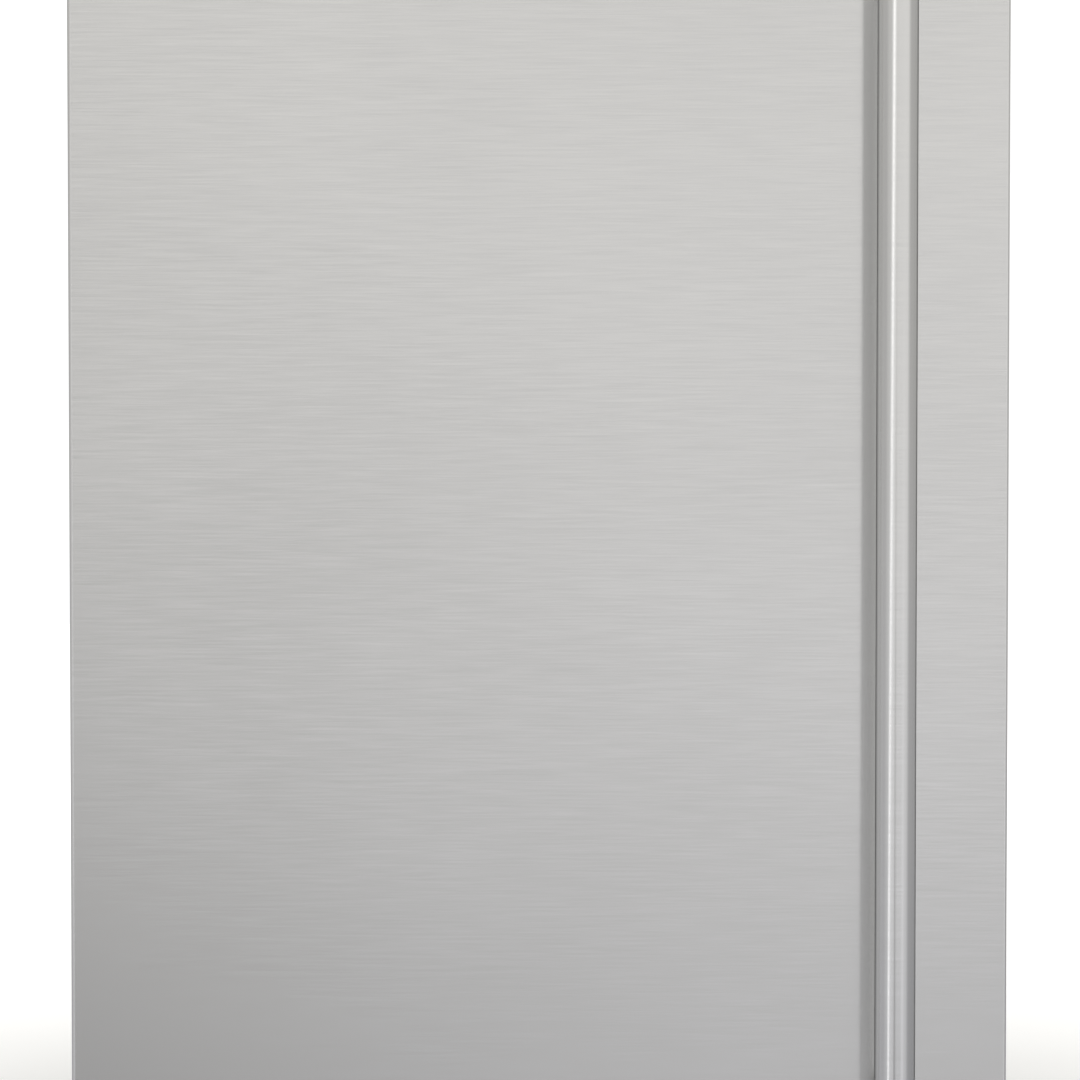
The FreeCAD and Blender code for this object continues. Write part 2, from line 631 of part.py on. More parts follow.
def shelf(z):
    """Wire shelf: a rounded frame, three cross wires and fine wires along its depth."""
    half = CAVITY_X - LEDGE_REACH + FRAME_ROD
    level = z + FIT + FRAME_ROD
    y0, y1 = SHELF_FRONT + FRAME_ROD, SHELF_BACK - FRAME_ROD
    corners = [V(-half, y0, level), V(half, y0, level), V(half, y1, level), V(-half, y1, level)]
    path = Part.Wire(corner_edges(corners, [14] * 4, True))
    start = path.Edges[0].Vertexes[0].Point
    tangent = path.Edges[0].tangentAt(path.Edges[0].FirstParameter)
    ring = Part.Wire(Part.makeCircle(FRAME_ROD, start, tangent))
    frame = path.makePipeShell([ring], True, False)
    wires = []
    for y in (y0 + 95, (y0 + y1) / 2, y1 - 95):
        wires.append(rod(V(-half, y, level - 0.5), V(half, y, level - 0.5), CROSS_ROD))
    count = 19
    for i in range(count):
        x = -half + (i + 1) * 2 * half / (count + 1)
        wires.append(rod(V(x, y0, level + 1.8), V(x, y1, level + 1.8), FINE_ROD))
    return fuse(frame, *wires)


# Cold-air unit

def fan(centre, radius, hub, depth, blades, way, shaft):
    """Axial fan on a Y axis: hub, pitched blades trimmed round, and a shaft towards the motor."""
    solid = Part.makeCylinder(hub, depth, centre - Y * depth / 2, Y)
    tip = Part.makeCylinder(radius, depth * 3, centre - Y * depth * 1.5, Y)
    tip = tip.cut(Part.makeCylinder(hub - 1, depth * 3, centre - Y * depth * 1.5, Y))
    chord = radius * 0.62
    blade = box(-chord / 2, chord / 2, -0.9, 0.9, 0, radius + 5)
    blade.rotate(V(0, 0, 0), Z, 28)
    blade.translate(centre)
    for k in range(blades):
        one = blade.copy()
        one.rotate(centre, Y, 360 * k / blades)
        solid = solid.fuse(one.common(tip))
    stub = rod(centre, centre + Y * way * shaft, 2.5)
    return fuse(solid, stub)


def evaporator_cover():
    """Moulded cover over the coil: shallow box with a ringed fan guard and intake slots."""
    x1, y0, y1 = UNIT_HALF, UNIT_FRONT, CAVITY_BACK - FIT
    points = [V(-x1, y0, UNIT_BOTTOM), V(x1, y0, UNIT_BOTTOM), V(x1, y1, UNIT_BOTTOM),
              V(-x1, y1, UNIT_BOTTOM)]
    outside = prism(points, [10, 10, 0, 0], Z * (UNIT_TOP - UNIT_BOTTOM))
    w = UNIT_WALL
    inside = prism([V(-x1 + w, y0 + w, UNIT_BOTTOM + w), V(x1 - w, y0 + w, UNIT_BOTTOM + w),
                    V(x1 - w, y1 + 1, UNIT_BOTTOM + w), V(-x1 + w, y1 + 1, UNIT_BOTTOM + w)],
                   [10 - w, 10 - w, 0, 0], Z * (UNIT_TOP - UNIT_BOTTOM - 2 * w))
    cover = outside.cut(inside)
    axis = V(0, y0 - 1, FAN_Z)
    cover = cover.cut(Part.makeCylinder(FAN_OPENING, w + 2, axis, Y))
    seat = V(0, y0, FAN_Z)
    guard = [Part.makeCylinder(12, w, seat, Y)]
    for radius in (24, 35, 46):
        outer = Part.makeCylinder(radius + 1.4, w, seat, Y)
        guard.append(outer.cut(Part.makeCylinder(radius - 1.4, w, seat, Y)))
    for k in range(4):
        bar = box(-1.6, 1.6, y0, y0 + w, -FAN_OPENING - 1, FAN_OPENING + 1)
        bar.rotate(V(0, y0, 0), Y, 45 * k)
        bar.translate(V(0, 0, FAN_Z))
        guard.append(bar)
    cover = fuse(cover, *guard)
    slots = [box(-150, 150, y0 - 1, y0 + w + 1, z, z + 6) for z in range(440, 520, 14)]
    cover = cover.cut(slots[0].fuse(slots[1:]))
    for x, z in evaporator_screw_places():
        cover = cover.cut(rod(V(x, y0 - 1, z), V(x, y0 + w + 1, z), SCREW_RADIUS + 0.2))
    return cover


def evaporator_screw_places():
    return [(x, z) for x in (-205, 205) for z in (UNIT_BOTTOM + 12, UNIT_TOP - 12)]


def coil(centre, half, fin_depth, fin_pitch):
    """Fin-and-tube coil: flat fins on a tube that runs to and fro in one plane."""
    height = COIL_PASSES * COIL_PITCH
    low = centre.z - height / 2 + COIL_PITCH / 2
    points = []
    for i in range(COIL_PASSES):
        z = low + i * COIL_PITCH
        ends = [V(centre.x + half, centre.y, z), V(centre.x - half, centre.y, z)]
        points += ends if i % 2 == 0 else ends[::-1]
    reach = COIL_PITCH / 2
    for point in points[1:-1]:
        point.x += reach if point.x > centre.x else -reach
    points[0].x += 14
    points[-1].x += 14
    tube = bent_tube(points, 4, reach)
    runs = [rod(V(centre.x - half - 5, centre.y, low + i * COIL_PITCH),
                V(centre.x + half + 5, centre.y, low + i * COIL_PITCH), 4.0)
            for i in range(COIL_PASSES)]
    bore = runs[0].fuse(runs[1:])
    fin = box(0, 0.8, centre.y - fin_depth / 2, centre.y + fin_depth / 2,
              centre.z - height / 2, centre.z + height / 2)
    count = int(2 * (half - 6) // fin_pitch)
    fins = []
    for i in range(count + 1):
        plate = fin.copy()
        plate.translate(V(centre.x - half + 6 + i * fin_pitch, 0, 0))
        fins.append(plate.cut(bore))
    return Part.makeCompound([tube] + fins)


def coil_ends(centre, half):
    """The two open ends of a coil's tube, lower and upper."""
    reach = COIL_PASSES * COIL_PITCH / 2 - COIL_PITCH / 2
    return [V(centre.x + half + 14, centre.y, centre.z + s * reach) for s in (-1, 1)]


def evaporator_fan_motor():
    """Round motor on a plate on the liner's back wall."""
    start = V(0, CAVITY_BACK - 28, FAN_Z)
    body = rod(start, V(0, CAVITY_BACK, FAN_Z), 22)
    plate = box(-34, 34, CAVITY_BACK - 2, CAVITY_BACK, FAN_Z - 26, FAN_Z + 26)
    return fuse(body, plate).cut(rod(start - Y, start + Y * 12, 2.5 + RUNNING))


# Control housing

def control_housing():
    """Moulded housing under the ceiling for the thermostat, lamp and door switch."""
    x1, y0, y1, z0, z1 = CONTROL_HALF, CONTROL_FRONT, CONTROL_BACK, CONTROL_BOTTOM, CAVITY_TOP
    side = [V(-x1, y0, z0), V(-x1, y1, z0), V(-x1, y1, z1), V(-x1, y0, z1)]
    outside = prism(side, [6, 14, 0, 0], X * (2 * x1))
    inside = prism([V(-x1 + 2, y0 + 2, z0 + 2), V(-x1 + 2, y1 - 2, z0 + 2),
                    V(-x1 + 2, y1 - 2, z1 + 1), V(-x1 + 2, y0 + 2, z1 + 1)],
                   [4, 12, 0, 0], X * (2 * x1 - 4))
    boss = rod(V(PLUNGER_X, y0 - 6, CONTROL_Z), V(PLUNGER_X, y0 + 1, CONTROL_Z), 8)
    shape = fuse(outside.cut(inside), boss)
    shape = shape.cut(rod(V(KNOB_X, y0 - 1, CONTROL_Z), V(KNOB_X, y0 + 3, CONTROL_Z), 4))
    shape = shape.cut(rod(V(PLUNGER_X, y0 - 9, CONTROL_Z), V(PLUNGER_X, y0 + 4, CONTROL_Z),
                          PLUNGER_RADIUS + RUNNING))
    return shape.cut(box(-LENS_HALF, LENS_HALF, LENS_FRONT, LENS_BACK, z0 - 1, z0 + 3))


def lamp_lens():
    """Frosted cover that clips into the housing's underside."""
    z0 = CONTROL_BOTTOM
    plate = box(-LENS_HALF, LENS_HALF, LENS_FRONT, LENS_BACK, z0 - 1.5, z0 + 2)
    edges = [e for e in plate.Edges if abs(e.BoundBox.ZMax - (z0 - 1.5)) < 1e-3]
    return plate.makeFillet(1.4, edges)


def lamp_board():
    """Aluminium-backed board with six light-emitting diodes above the lens."""
    z = CONTROL_BOTTOM + 8
    board = box(-LENS_HALF + 4, LENS_HALF - 4, LENS_FRONT + 14, LENS_BACK - 14, z, z + 1.6)
    dies = [box(x - 2.5, x + 2.5, LENS_FRONT + 22.5, LENS_FRONT + 27.5, z - 1.2, z)
            for x in range(-40, 41, 16)]
    return fuse(board, *dies)


def thermostat():
    """Thermostat switch behind the knob, with the bore for its shaft."""
    y0 = CONTROL_FRONT + 2
    body = box(KNOB_X - 17, KNOB_X + 17, y0, y0 + 30, CONTROL_Z - 12, CONTROL_Z + 15)
    tabs = [box(KNOB_X + dx - 3, KNOB_X + dx + 3, y0 + 30, y0 + 38, CONTROL_Z - 0.4, CONTROL_Z + 0.4)
            for dx in (-10, 0, 10)]
    bore = rod(V(KNOB_X, y0 - 1, CONTROL_Z), V(KNOB_X, y0 + 12, CONTROL_Z), 3 + RUNNING)
    return fuse(body, *tabs).cut(bore)


def thermostat_knob():
    """Fluted knob with a pointer rib and a shaft into the thermostat."""
    y1 = CONTROL_FRONT - FIT
    seat = V(KNOB_X, y1, CONTROL_Z)
    skirt = Part.makeCone(16, 14.5, 3, seat, -Y)
    grip = Part.makeCone(12.5, 11.5, 11, seat - Y * 3, -Y)
    for k in range(12):
        angle = math.radians(30 * k + 15)
        at = V(KNOB_X + 13.4 * math.cos(angle), y1 - 3, CONTROL_Z + 13.4 * math.sin(angle))
        grip = grip.cut(rod(at, at - Y * 12, 2.2))
    pointer = box(KNOB_X - 0.8, KNOB_X + 0.8, y1 - 14.6, y1 - 13.5, CONTROL_Z + 1, CONTROL_Z + 11)
    shaft = rod(seat - Y, seat + Y * 12, 3)
    return fuse(skirt, grip, pointer, shaft)


def door_switch():
    """Switch behind the plunger."""
    y0 = CONTROL_FRONT + 12
    body = box(PLUNGER_X - 10, PLUNGER_X + 10, y0, y0 + 24, CONTROL_Z - 9, CONTROL_Z + 9)
    return body.cut(rod(V(PLUNGER_X, y0 - 1, CONTROL_Z), V(PLUNGER_X, y0 + 16, CONTROL_Z), 3))


def door_switch_plunger():
    """Plunger that the closed door's liner holds in."""
    tip = DOOR_BACK + PLATEAU + FIT
    nose = rod(V(PLUNGER_X, tip, CONTROL_Z), V(PLUNGER_X, CONTROL_FRONT + 5, CONTROL_Z),
               PLUNGER_RADIUS)
    nose = nose.makeFillet(1.5, [nose.Edges[i] for i in range(3)
                                 if abs(nose.Edges[i].BoundBox.YMax - tip) < 1e-3])
    stem = rod(V(PLUNGER_X, CONTROL_FRONT + 4, CONTROL_Z),
               V(PLUNGER_X, CONTROL_FRONT + 24, CONTROL_Z), 2.6)
    return fuse(nose, stem)


# Refrigeration unit

def cup(radius, wall, low, high, corner, way):
    """Half of the compressor's housing: a deep round cup with a weld lip at its open end."""
    def turned(r, z_end):
        bottom, edge = (low, z_end) if way > 0 else (high, z_end)
        rounding = min(corner, r - 1)
        points = [V(0, 0, bottom), V(r, 0, bottom), V(r, 0, edge), V(0, 0, edge)]
        wire = Part.Wire(corner_edges(points, [0, rounding, 0, 0], True))
        return Part.Face(wire).revolve(V(0, 0, 0), Z, 360)
    edge = high if way > 0 else low
    outer = turned(radius, edge)
    inner_low = low + wall if way > 0 else low
    inner_high = high if way > 0 else high - wall
    points = [V(0, 0, inner_low), V(radius - wall, 0, inner_low),
              V(radius - wall, 0, inner_high), V(0, 0, inner_high)]
    radii = [0, corner - wall, 0, 0] if way > 0 else [0, 0, corner - wall, 0]
    inner = Part.Face(Part.Wire(corner_edges(points, radii, True))).revolve(V(0, 0, 0), Z, 360)
    lip_low = edge - 2.5 if way > 0 else edge
    lip = Part.makeCylinder(radius + 3.5, 2.5, V(0, 0, lip_low), Z)
    made = outer.fuse(lip).cut(inner)
    made.translate(COMPRESSOR)
    return made.removeSplitter()


def compressor_lower_shell():
    """Lower half of the housing with its two mounting feet."""
    shell = cup(SHELL_RADIUS, SHELL_WALL, SHELL_BOTTOM, SHELL_SEAM, 24, 1)
    z0 = SHELL_BOTTOM - 3
    feet = []
    for sign in (-1, 1):
        y = COMPRESSOR.y + sign * MOUNT_Y
        strip = prism([V(COMPRESSOR.x - MOUNT_X - 13, y - 14, z0),
                       V(COMPRESSOR.x + MOUNT_X + 13, y - 14, z0),
                       V(COMPRESSOR.x + MOUNT_X + 13, y + 14, z0),
                       V(COMPRESSOR.x - MOUNT_X - 13, y + 14, z0)], 8, Z * 3)
        feet.append(strip)
    bridge = box(COMPRESSOR.x - 35, COMPRESSOR.x + 35, COMPRESSOR.y - MOUNT_Y,
                 COMPRESSOR.y + MOUNT_Y, z0, z0 + 3)
    shape = fuse(shell, bridge, *feet)
    for x, y in mount_places():
        shape = shape.cut(rod(V(x, y, z0 - 1), V(x, y, z0 + 4), 4.3))
    return shape


def compressor_upper_shell():
    """Domed upper half of the housing."""
    shell = cup(SHELL_RADIUS, SHELL_WALL, SHELL_SEAM, SHELL_TOP, 46, -1)
    return shell


def compressor_pump():
    """Motor and pump block inside the housing."""
    low = SHELL_BOTTOM + SHELL_WALL
    stator = Part.makeCylinder(45, 70, V(COMPRESSOR.x, COMPRESSOR.y, low), Z)
    block = Part.makeCylinder(34, 45, V(COMPRESSOR.x, COMPRESSOR.y, low + 70), Z)
    return fuse(stator, block)


def compressor_grommets():
    """Four rubber mounts under the compressor's feet."""
    mounts = []
    for x, y in mount_places():
        lower = Part.makeCone(12, 10, GROMMET_HEIGHT / 2, V(x, y, PAN_TOP), Z)
        upper = Part.makeCone(10, 12, GROMMET_HEIGHT / 2, V(x, y, PAN_TOP + GROMMET_HEIGHT / 2), Z)
        mounts.append(fuse(lower, upper).cut(rod(V(x, y, 20), V(x, y, 60), 4.3)))
    return Part.makeCompound(mounts)


def compressor_bolts():
    """Four bolts through the feet, the mounts and the base pan."""
    bolts = []
    for x, y in mount_places():
        seat = SHELL_BOTTOM
        corners = [V(x + 7.5 * math.cos(math.radians(60 * k)),
                     y + 7.5 * math.sin(math.radians(60 * k)), seat) for k in range(6)]
        head = prism(corners, 0, Z * 5)
        bolts.append(fuse(head, rod(V(x, y, seat), V(x, y, GROUND_CLEARANCE - 4), 4)))
    return Part.makeCompound(bolts)


def compressor_relay_cover():
    """Moulded cover over the compressor's terminals, on its front side."""
    y1 = COMPRESSOR.y - SHELL_RADIUS + 12
    body = box(COMPRESSOR.x - 30, COMPRESSOR.x + 30, y1 - 34, y1,
               SHELL_BOTTOM + 18, SHELL_BOTTOM + 68)
    edges = [e for e in body.Edges if e.BoundBox.YMin < y1 - 33 and e.Length > 40]
    body = body.makeFillet(5, edges)
    return body.cut(Part.makeCylinder(SHELL_RADIUS + 0.2, 200, COMPRESSOR, Z))


def condenser_shroud():
    """Plate behind the condenser with a round fan opening and a rolled ring."""
    y0 = CONDENSER.y + 26
    seat = V(CONDENSER.x, y0, CONDENSER.z)
    plate = box(CONDENSER.x - 97, CONDENSER.x + 97, y0, y0 + HEAVY_SHEET,
                CONDENSER.z - 100, CONDENSER.z + 100)
    ring = Part.makeCylinder(BLOWER_RADIUS + 6, 14, seat, Y)
    hole = Part.makeCylinder(BLOWER_RADIUS + 4.8, 20, seat - Y * 2, Y)
    sides = [box(CONDENSER.x + s * 96.4 - 0.6, CONDENSER.x + s * 96.4 + 0.6, CONDENSER.y + 16, y0 + 1,
                 CONDENSER.z - 100, CONDENSER.z + 100) for s in (-1, 1)]
    legs = box(CONDENSER.x - 97, CONDENSER.x + 97, y0, y0 + HEAVY_SHEET, PAN_TOP, CONDENSER.z - 99)
    return fuse(plate, ring, legs, *sides).cut(hole)


def condenser_fan_motor():
    """Fan motor with three arms and posts back to the shroud."""
    y0 = CONDENSER.y + 26 + HEAVY_SHEET
    axis = V(CONDENSER.x, y0, CONDENSER.z)
    front = axis + Y * 36
    shape = Part.makeCylinder(28, 38, front, Y)
    for k in range(3):
        angle = math.radians(90 + 120 * k)
        out = V(math.cos(angle), 0, math.sin(angle))
        arm = box(0, 86, 0, 3, -7, 7)
        arm.rotate(V(0, 0, 0), Y, -math.degrees(angle))
        arm.translate(front)
        post = rod(axis + out * 84, axis + out * 84 + Y * 38, 4)
        shape = shape.fuse([arm, post])
    return shape.removeSplitter().cut(rod(front - Y, front + Y * 16, 2.5 + RUNNING))


def filter_drier():
    """Spun copper drier on the liquid line."""
    x, y, z = DRIER.x, DRIER.y, DRIER.z
    profile = [V(0, 0, 0), V(3, 0, 0), V(9.5, 0, 12), V(9.5, 0, 88), V(2.5, 0, 100), V(0, 0, 100)]
    wire = Part.Wire(corner_edges(profile, [0, 0, 4, 4, 0, 0], True))
    shape = Part.Face(wire).revolve(V(0, 0, 0), Z, 360)
    shape.translate(V(x, y, z))
    return shape


def suction_path():
    """Suction tube: compressor, up the rear wall and in to the coil's upper end."""
    end = coil_ends(EVAPORATOR, EVAPORATOR_HALF)[1]
    x = COMPRESSOR.x + 86
    return ([V(COMPRESSOR.x + SHELL_RADIUS, COMPRESSOR.y, SUCTION_Z), V(x, COMPRESSOR.y, SUCTION_Z),
             V(x, COMPRESSOR.y, 276), V(x, REAR_RUN, 276), V(x, REAR_RUN, end.z),
             V(end.x + 12, REAR_RUN, end.z), V(end.x + 12, end.y, end.z), end], 4.0)


def capillary_path():
    """Capillary tube: drier, along the bay's ceiling, up the rear wall to the coil's lower end."""
    end = coil_ends(EVAPORATOR, EVAPORATOR_HALF)[0]
    x = end.x + 12
    return ([V(DRIER.x, DRIER.y, DRIER.z + 100), V(DRIER.x, DRIER.y, 284), V(x, DRIER.y, 284),
             V(x, REAR_RUN, 284), V(x, REAR_RUN, end.z), V(x, end.y, end.z), end], 1.5)


def refrigerant_lines():
    """Copper tubes: discharge, liquid, capillary and suction."""
    low, high = coil_ends(CONDENSER, CONDENSER_HALF)
    x = 40
    discharge = [V(COMPRESSOR.x - SHELL_RADIUS, COMPRESSOR.y, 150), V(x, COMPRESSOR.y, 150),
                 V(x, COMPRESSOR.y, 264), V(high.x + 14, COMPRESSOR.y, 264),
                 V(high.x + 14, high.y, 264), V(high.x + 14, high.y, high.z), high]
    liquid = [low, V(DRIER.x, DRIER.y, low.z), V(DRIER.x, DRIER.y, DRIER.z)]
    suction, suction_radius = suction_path()
    capillary, capillary_radius = capillary_path()
    tubes = [bent_tube(discharge, 3, 8), bent_tube(liquid, 3, 8),
             bent_tube(suction, suction_radius, 8), bent_tube(capillary, capillary_radius, 8)]
    housing = Part.makeCylinder(SHELL_RADIUS, SHELL_TOP - SHELL_BOTTOM,
                                V(COMPRESSOR.x, COMPRESSOR.y, SHELL_BOTTOM), Z)
    return Part.makeCompound([tube.cut(housing) for tube in tubes])


def drain_tube():
    """Drain from the step in the liner down to the pan."""
    low, high = V(DRAIN.x, DRAIN.y, 70), V(DRAIN.x, DRAIN.y, STEP_Z)
    return rod(low, high, 6).cut(rod(low, high, 4.6))


def drain_pan():
    """Moulded tray that catches the condensate beside the warm compressor."""
    x0, x1, y0, y1 = -48, 58, DRAIN.y - 42, DRAIN.y + 44
    outside = prism([V(x0, y0, PAN_TOP), V(x1, y0, PAN_TOP), V(x1, y1, PAN_TOP),
                     V(x0, y1, PAN_TOP)], 8, Z * 34)
    inside = prism([V(x0 + 2, y0 + 2, PAN_TOP + 2), V(x1 - 2, y0 + 2, PAN_TOP + 2),
                    V(x1 - 2, y1 - 2, PAN_TOP + 2), V(x0 + 2, y1 - 2, PAN_TOP + 2)], 6, Z * 40)
    return outside.cut(inside)


# Covers

def louvres(y0, y1, groups, z_list, thick):
    """Long round-ended slots in groups side by side."""
    cuts = []
    for x0, x1 in groups:
        for z in z_list:
            r = thick / 2
            points = [V(x0, y0, z - r), V(x1, y0, z - r), V(x1, y0, z + r), V(x0, y0, z + r)]
            cuts.append(prism(points, r - 0.01, Y * (y1 - y0)))
    return cuts


def toe_grille():
    """Black steel grille under the door, folded back along its top and bottom."""
    half = SIDE - 2
    y = GRILLE_Y
    spine = [V(-half, y + 9, GRILLE_BOTTOM), V(-half, y, GRILLE_BOTTOM),
             V(-half, y, GRILLE_TOP), V(-half, y + 9, GRILLE_TOP)]
    sheet = folded_sheet(spine[::-1], HEAVY_SHEET, 2.0, X * (2 * half))
    groups = [(-262, -98), (-82, 82), (98, 262)]
    cuts = louvres(y - 1, y + HEAVY_SHEET + 1, groups, [26 + 9.5 * i for i in range(6)], 4.6)
    for x in GRILLE_SCREWS:
        cuts.append(rod(V(x, y - 1, 36), V(x, y + 3, 36), SCREW_RADIUS + 0.2))
    return sheet.cut(cuts[0].fuse(cuts[1:]))


def cover_screw_places():
    """Rear cover's screws: through the side panels' rear flanges."""
    return [(x, z) for x in (-SIDE + 8, SIDE - 8) for z in (COVER_BOTTOM + 20, 175, BAY_TOP - 16)]


def machine_cover():
    """Louvred steel cover over the machine bay's open back."""
    y1 = BACK - SHEET
    half = SIDE - 2 * SHEET
    plate = box(-half, half, y1 - SHEET, y1, COVER_BOTTOM, BAY_TOP - FIT)
    groups = [(-140, -20), (20, 140)]
    heights = [110 + 14 * i for i in range(11)]
    cuts = louvres(y1 - 2, y1 + 1, groups, heights, 5)
    cuts.append(box(INLET.x - 14.2, INLET.x + 14.2, y1 - 3, y1 + 1, INLET.z - 10.7, INLET.z + 10.7))
    for x, z in cover_screw_places():
        cuts.append(rod(V(x, y1 - 3, z), V(x, y1 + 1, z), SCREW_RADIUS + 0.2))
    return plate.cut(cuts[0].fuse(cuts[1:]))


def cover_screws():
    """Self-tapping pan-head screws of the grille, the rear cover and the coil's cover."""
    places = [(V(x, GRILLE_Y, 36), -Y) for x in GRILLE_SCREWS]
    places += [(V(x, BACK, z), Y) for x, z in cover_screw_places()]
    places += [(V(x, UNIT_FRONT, z), -Y) for x, z in evaporator_screw_places()]
    screws = []
    for seat, out in places:
        head = Part.makeCone(SCREW_HEAD, SCREW_HEAD - 1, 2.2, seat, out)
        shank = rod(seat, seat - out * 8, SCREW_RADIUS)
        slot = box(-3, 3, -0.9, 0.9, -0.45, 0.45)
        cross = box(-0.45, 0.45, -0.9, 0.9, -3, 3)
        for cut in (slot, cross):
            cut.translate(seat + out * 2.2)
            head = head.cut(cut)
        screws.append(fuse(head, shank))
    return Part.makeCompound(screws)


def power_inlet():
    """Three-pin mains inlet: flanged body with a shaped socket and its pins."""
    y1 = BACK - SHEET
    body = box(INLET.x - 14, INLET.x + 14, y1 - 24, y1, INLET.z - 10.5, INLET.z + 10.5)
    flange = prism([V(INLET.x - 25, y1, INLET.z - 12), V(INLET.x + 25, y1, INLET.z - 12),
                    V(INLET.x + 25, y1, INLET.z + 12), V(INLET.x - 25, y1, INLET.z + 12)],
                   [5] * 4, Y * 2.5)
    depth = 17
    mouth = [V(INLET.x - 12, y1 + 3, INLET.z - 8.2), V(INLET.x + 12, y1 + 3, INLET.z - 8.2),
             V(INLET.x + 12, y1 + 3, INLET.z + 3.5), V(INLET.x + 7, y1 + 3, INLET.z + 8.2),
             V(INLET.x - 7, y1 + 3, INLET.z + 8.2), V(INLET.x - 12, y1 + 3, INLET.z + 3.5)]
    socket = prism(mouth, 1, -Y * (depth + 0.5))
    shape = fuse(body, flange).cut(socket)
    pins = [box(INLET.x + dx - 1, INLET.x + dx + 1, y1 - depth + 2, y1 - 3,
                INLET.z + dz - 2, INLET.z + dz + 2) for dx, dz in ((-7, -2), (7, -2), (0, 2.5))]
    back = [box(INLET.x + dx - 1, INLET.x + dx + 1, y1 - depth - 2, y1 - depth + 3,
                INLET.z + dz - 2, INLET.z + dz + 2) for dx, dz in ((-7, -2), (7, -2), (0, 2.5))]
    return fuse(shape, *pins, *back)


# Assembly

def make_parts():
    """Every node's name with its shape."""
    right = side_panel()
    left = mirrored_x(right)
    roof = top_panel()
    floor = bottom_panel()
    screws = hinge_screws()
    rear = rear_panel()
    spacers = rear_spacers()
    small_screws = cover_screws()
    drain = drain_hole()
    for hole in hinge_screw_holes(TOP - 20, TOP + 1, 3.2):
        roof = roof.cut(hole)
    for hole in hinge_screw_holes(TOE_HEIGHT - 5, TOE_HEIGHT + 20, 3.2):
        floor = floor.cut(hole)
    for points, radius in (suction_path(), capillary_path()):
        floor = floor.cut(bent_tube(points, radius + 0.5, 8))
    floor = floor.cut(drain)
    for x, z in cover_screw_places():
        hole = rod(V(x, BACK - 12, z), V(x, BACK + 1, z), SCREW_RADIUS + 0.2)
        right, left = right.cut(hole), left.cut(hole)
    pan = base_pan()
    for x in GRILLE_SCREWS:
        pan = pan.cut(rod(V(x, GRILLE_Y, 36), V(x, GRILLE_Y + 9, 36), SCREW_RADIUS + 0.2))
    tubes = [bent_tube(points, radius + 0.2, 8) for points, radius in (suction_path(), capillary_path())]
    foam = cabinet_foam([left, right, roof, screws, drain] + tubes)
    parts = {
        "side_panel_left": left,
        "side_panel_right": right,
        "top_panel": roof,
        "bottom_panel": floor,
        "rear_panel": rear,
        "rear_spacers": spacers,
        "base_pan": pan,
        "foot_nuts": foot_nuts(),
        "cabinet_foam": foam,
        "inner_liner": inner_liner(),
        "top_hinge": top_hinge(),
        "bottom_hinge": bottom_hinge(),
        "hinge_screws": screws,
        "hinge_cover": hinge_cover(),
        "toe_grille": toe_grille(),
        "machine_cover": machine_cover(),
        "cover_screws": small_screws,
        "power_inlet": power_inlet(),
        "control_housing": control_housing(),
        "thermostat": thermostat(),
        "thermostat_knob": thermostat_knob(),
        "lamp_board": lamp_board(),
        "lamp_lens": lamp_lens(),
        "door_switch": door_switch(),
        "door_switch_plunger": door_switch_plunger(),
        "evaporator_cover": evaporator_cover(),
        "evaporator_coil": coil(EVAPORATOR, EVAPORATOR_HALF, 34, 7.0),
        "evaporator_fan_motor": evaporator_fan_motor(),
        "evaporator_fan": fan(V(0, CAVITY_BACK - 38, FAN_Z), 50, 14, 12, 5, 1, 20),
        "condenser_coil": coil(CONDENSER, CONDENSER_HALF, 40, 5.0),
        "condenser_shroud": condenser_shroud(),
        "condenser_fan_motor": condenser_fan_motor(),
        "condenser_fan": fan(CONDENSER + Y * 47, BLOWER_RADIUS, 18, 18, 5, 1, 30),
        "compressor_lower_shell": compressor_lower_shell(),
        "compressor_upper_shell": compressor_upper_shell(),
        "compressor_pump": compressor_pump(),
        "compressor_relay_cover": compressor_relay_cover(),
        "compressor_grommets": compressor_grommets(),
        "compressor_bolts": compressor_bolts(),
        "filter_drier": filter_drier(),
        "refrigerant_lines": refrigerant_lines(),
        "drain_tube": drain_tube(),
        "drain_pan": drain_pan(),
        "door_skin": door_skin(),
        "door_end_caps": door_end_caps(),
        "door_foam": door_foam(),
        "door_liner": door_liner(),
        "door_gasket": door_gasket(),
        "hinge_bushes": hinge_bushes(),
        "handle_bar": handle_bar(),
        "handle_end_caps": handle_end_caps(),
        "handle_posts": handle_posts(),
        "handle_screws": handle_screws(),
    }
    for name, z in SHELVES.items():
        parts[name] = shelf(z)
    for end, y in FOOT_Y.items():
        for side, sign in (("left", -1), ("right", 1)):
            parts[f"foot_{end}_{side}"] = foot(sign * FOOT_X, y)
    return parts


def drain_hole():
    """The way for the drain tube through the foam and the sheet under it."""
    return rod(V(DRAIN.x, DRAIN.y, BAY_TOP - 10), V(DRAIN.x, DRAIN.y, STEP_Z + 1), 6.2)


def main():
    os.makedirs("parts", exist_ok=True)
    for name, shape in make_parts().items():
        shape.exportStep(f"parts/{name}.step")
        solids = shape.Solids
        good = all(s.isValid() and s.Volume > 0 for s in solids)
        print(f"{name}: {len(solids)} solids, {sum(s.Volume for s in solids) / 1000:.1f} cm3",
              "" if good and solids else "BAD")


main()
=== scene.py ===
"""Undercounter refrigerator: finishes for every part of the frame, and the fine pieces over it."""
import json
import math

